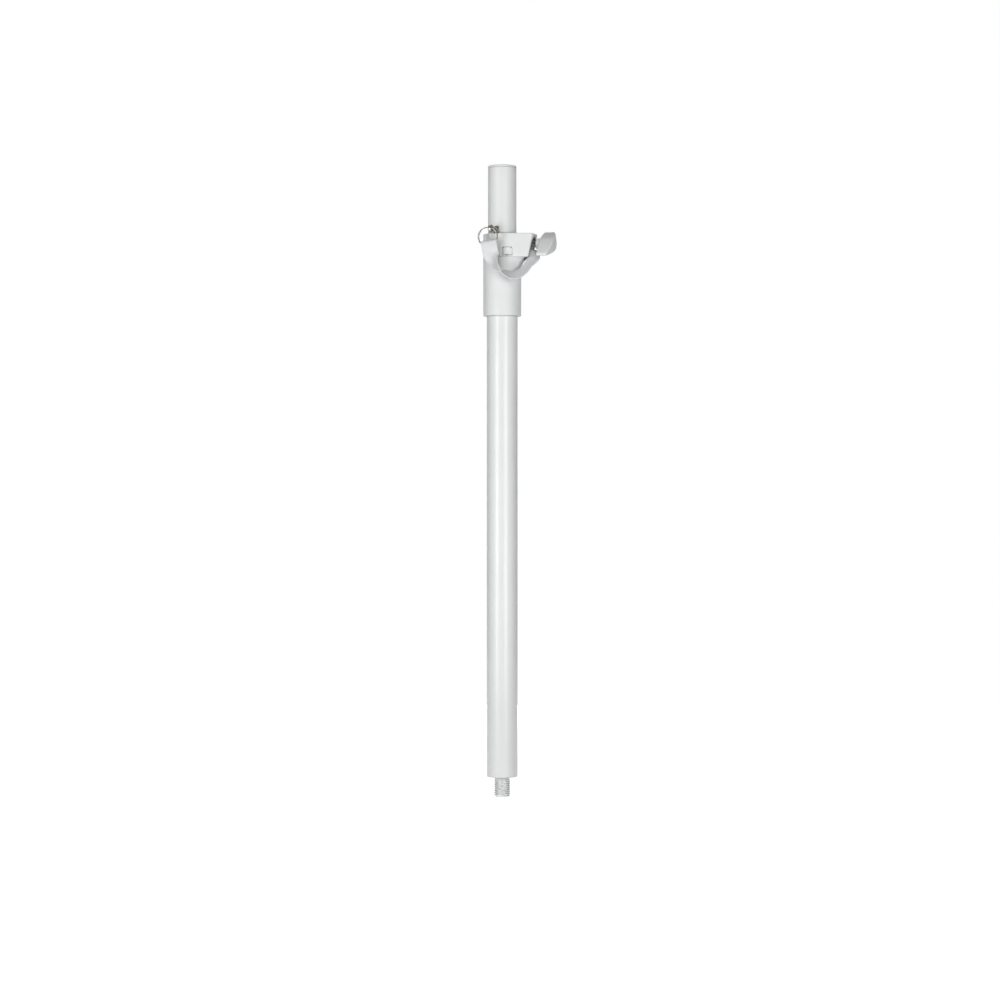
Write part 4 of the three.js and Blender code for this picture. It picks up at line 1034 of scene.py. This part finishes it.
# Each row is a place, in shares of the lug's reach, of the sleeve's radius and, above the
# bracket's foot, of that radius again. Then come the way that the width points, and the
# width as a share of the strap's. The widths fit the outline in the photograph and lessen
# a clash with the sleeve as the ring swings; they aren't a taper that was seen.
route_shares = np.array([
    [-0.091, -1.523, -0.154, 0.957, -0.285, -0.046, 1.00],
    [-0.010, -1.534, -0.380, 0.800, -0.596, -0.076, 1.00],
    [0.113, -1.559, -0.629, 0.531, -0.844, -0.071, 0.86],
    [0.211, -1.521, -0.815, 0.298, -0.941, -0.160, 0.86],
    [0.313, -1.454, -0.920, 0.201, -0.918, -0.343, 0.86],
    [0.433, -1.308, -0.975, 0.222, -0.770, -0.598, 0.97],
    [0.652, -1.162, -0.998, 0.260, -0.700, -0.665, 0.90],
    [0.861, -0.944, -0.814, 0.470, -0.640, -0.600, 0.80],
    [1.020, -0.630, -0.450, 0.630, -0.600, -0.490, 0.72],
    [1.151, -0.278, -0.060, 0.955, 0.290, 0.060, 0.80],
    [1.168, -0.011, 0.330, 0.200, 0.970, 0.083, 0.78],
])


def strap_stations():
    """Middle points, width directions and widths: the folded tail, the fold over the ring, the
    curl and the lug."""
    loop_up = UP * math.cos(LOOP_TURN) - ring_along * math.sin(LOOP_TURN)
    loop_along = UP * math.sin(LOOP_TURN) + ring_along * math.cos(LOOP_TURN)
    low = ring_middle - loop_up * RING_R
    layer = (STRAP_T + 0.3) / 2
    round_ = (RING_PITCH + 2 * WIRE_R) / 2 + 0.3 + STRAP_T / 2
    fold = np.linspace(0, math.pi, 7)
    out = np.concatenate([[-layer, -layer, -round_], -round_ * np.cos(fold), [round_, layer]])
    up = np.concatenate([[-SEAM_DROP - TAIL_DROP, -SEAM_DROP, -2 * WIRE_R],
                         LOOP_RISE + round_ * np.sin(fold), [-2 * WIRE_R, -SEAM_DROP]])
    loop = low + out[:, None] * ring_out + up[:, None] * loop_up + LOOP_SPARE / 2 * loop_along
    curl = route_shares[:, :3] * [LUG_X, SLEEVE_R, SLEEVE_R] + UP * BRACKET_FOOT
    lug = np.array([[LUG_X, 0, SCREW_RISE - drop] for drop in (NECK_DROP, NECK_DROP / 2, 0)])
    across = np.concatenate([np.tile(loop_along, (len(loop) - 1, 1)), [ring_along],
                             route_shares[:, 3:6], np.tile([0, 1, 0], (3, 1))])
    width = np.concatenate([np.full(len(loop), STRAP_W + LOOP_SPARE), route_shares[:, 6] * STRAP_W,
                            np.full(3, LUG_W)])
    return np.concatenate([loop, curl, lug]), across, width


def smooth_path(points, at):
    """A centripetal Catmull-Rom curve at the station numbers at. With knots d = sqrt(distance)
    apart, the slope at p1 is d1 ((p1-p0)/d0 - (p2-p0)/(d0+d1) + (p2-p1)/d1), and a cubic joins
    the points and slopes."""
    ends = np.concatenate([[2 * points[0] - points[1]], points, [2 * points[-1] - points[-2]]])
    gaps = np.sqrt(np.linalg.norm(np.diff(ends, axis=0), axis=1))[:, None]
    i = np.minimum(at.astype(int), len(points) - 2)
    t = (at - i)[:, None]
    p0, p1, p2, p3 = (ends[i + k] for k in range(4))
    d0, d1, d2 = (gaps[i + k] for k in range(3))
    m1 = d1 * ((p1 - p0) / d0 - (p2 - p0) / (d0 + d1) + (p2 - p1) / d1)
    m2 = d1 * ((p2 - p1) / d1 - (p3 - p1) / (d1 + d2) + (p3 - p2) / d2)
    return ((2 * t ** 3 - 3 * t ** 2 + 1) * p1 + (t ** 3 - 2 * t ** 2 + t) * m1
            + (3 * t ** 2 - 2 * t ** 3) * p2 + (t ** 3 - t ** 2) * m2)


# %% Strap skin
def strap_section(width, thickness, steps=4):
    """A rectangle with round edges, as (across, through) pairs for each width."""
    r = (thickness / 2)[:, None]
    half = (width / 2)[:, None] - r
    turn = np.linspace(-math.pi / 2, math.pi / 2, 2 * steps + 1)
    flat = np.linspace(1, -1, 9)[1:-1]
    right = np.stack([half + r * np.cos(turn), r * np.sin(turn)], 2)
    top = np.stack([half * flat, r + 0 * flat], 2)
    return np.concatenate([right, top, -right, -top], 1)


def strap_grid():
    """The strap's rows and their station numbers. Its groove has a depth of 0.35 of the
    thickness: thickness = T (1 - 0.35 exp(-((n - seam) / 0.035)^2))."""
    stations, across, width = strap_stations()
    count = len(stations) - 1
    fine = SEAM + np.array([-0.09, -0.06, -0.045, -0.03, -0.015, 0.015, 0.03, 0.045, 0.06, 0.09])
    at = np.unique(np.concatenate([np.linspace(0, count, 8 * count + 1), fine]))
    middle = smooth_path(stations, at)
    flat = np.linalg.norm(np.diff(middle, axis=0), axis=1).sum()
    print("strap, flat, from its folded tail to its screw:", round(float(flat), 1), "mm")
    numbers = np.arange(count + 1)
    across = np.stack([np.interp(at, numbers, a) for a in across.T], 1)
    width = np.interp(at, numbers, width)
    thickness = STRAP_T * (1 - 0.35 * np.exp(-((at - SEAM) / 0.035) ** 2))
    tip = np.sin(np.linspace(0, math.pi / 2, 12)[1:])
    middle = np.concatenate([middle, middle[-1] + np.outer(tip * LUG_W / 2, UP)])
    across = np.concatenate([across, np.tile([0, 1, 0], (len(tip), 1))])
    width = np.concatenate([width, LUG_W * np.sqrt(np.maximum(1 - tip ** 2, 0.012))])
    thickness = np.concatenate([thickness, np.full(len(tip), STRAP_T)])
    forward = np.gradient(middle, axis=0)
    forward /= np.linalg.norm(forward, axis=1, keepdims=True)
    across = across - (across * forward).sum(1, keepdims=True) * forward
    across /= np.linalg.norm(across, axis=1, keepdims=True)
    face = np.cross(across, forward)
    section = strap_section(width, thickness)
    grid = (middle[:, None] + section[..., :1] * across[:, None]
            + section[..., 1:] * face[:, None])
    return grid, np.concatenate([at, count + tip]), stations


def capped(grid):
    """A grid of sections with a flat end at each end."""
    ends = [np.repeat(grid[[i]].mean(1, keepdims=True), grid.shape[1], 1) for i in (0, -1)]
    return shell(np.concatenate([ends[0], grid, ends[1]]))


def bend(piece, first, last, still, moved):
    """Works out the stretch of the line from first to last that lies past all of the rows in still
    and short of all of the rows in moved, bakes the piece's place into its mesh and prints how
    long that stretch is. It doesn't bend the piece."""
    way = (last - first) / np.linalg.norm(last - first)
    start = first + way * ((still - first) @ way).max()
    end = first + way * ((moved - first) @ way).min()
    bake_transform(piece)
    print(piece.name, "bends over", round(float((end - start) @ way), 1), "mm")


rows, at, stations = strap_grid()
joined = rows[at == SPLIT]
lug_rows = rows[at >= len(stations) - 2]
band = mesh_of("strap_band", [capped(rows[at >= SPLIT])])
band = cut(band, [rod_mesh("hole", PASSAGE_R, 34, 38)])
band = put("strap_band", band, strap_vinyl, None, ["tether_strap"], 50)
bend(band, stations[-1], stations[SPLIT], lug_rows, joined)
loop = mesh_of("strap_loop", [capped(rows[at <= SPLIT])])
loop = put("strap_loop", loop, strap_vinyl, None, ["tether_strap"], 50)
bend(loop, stations[SPLIT], stations[SEAM], joined, rows[at <= SEAM])

# %% [markdown]
# ## Pieces that keep the frame's shape
#
# The guide bush, the foot guide, the pad and the hidden hardware are right as they are, and
# only get their finish.

# %% Finishes for the rest
plain = {
    "stud_lock_washer": zinc_plate, "stud_nut": zinc_plate, "clamp_nut": zinc_plate,
    "foot_pin": zinc_plate, "guide_bush": guide_acetal, "foot_guide": guide_acetal,
    "pressure_pad": guide_acetal,
}
for node, material in plain.items():
    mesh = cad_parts[node].data
    mesh.materials.clear()
    mesh.materials.append(material)
print("kept from the frame:", sorted(plain))
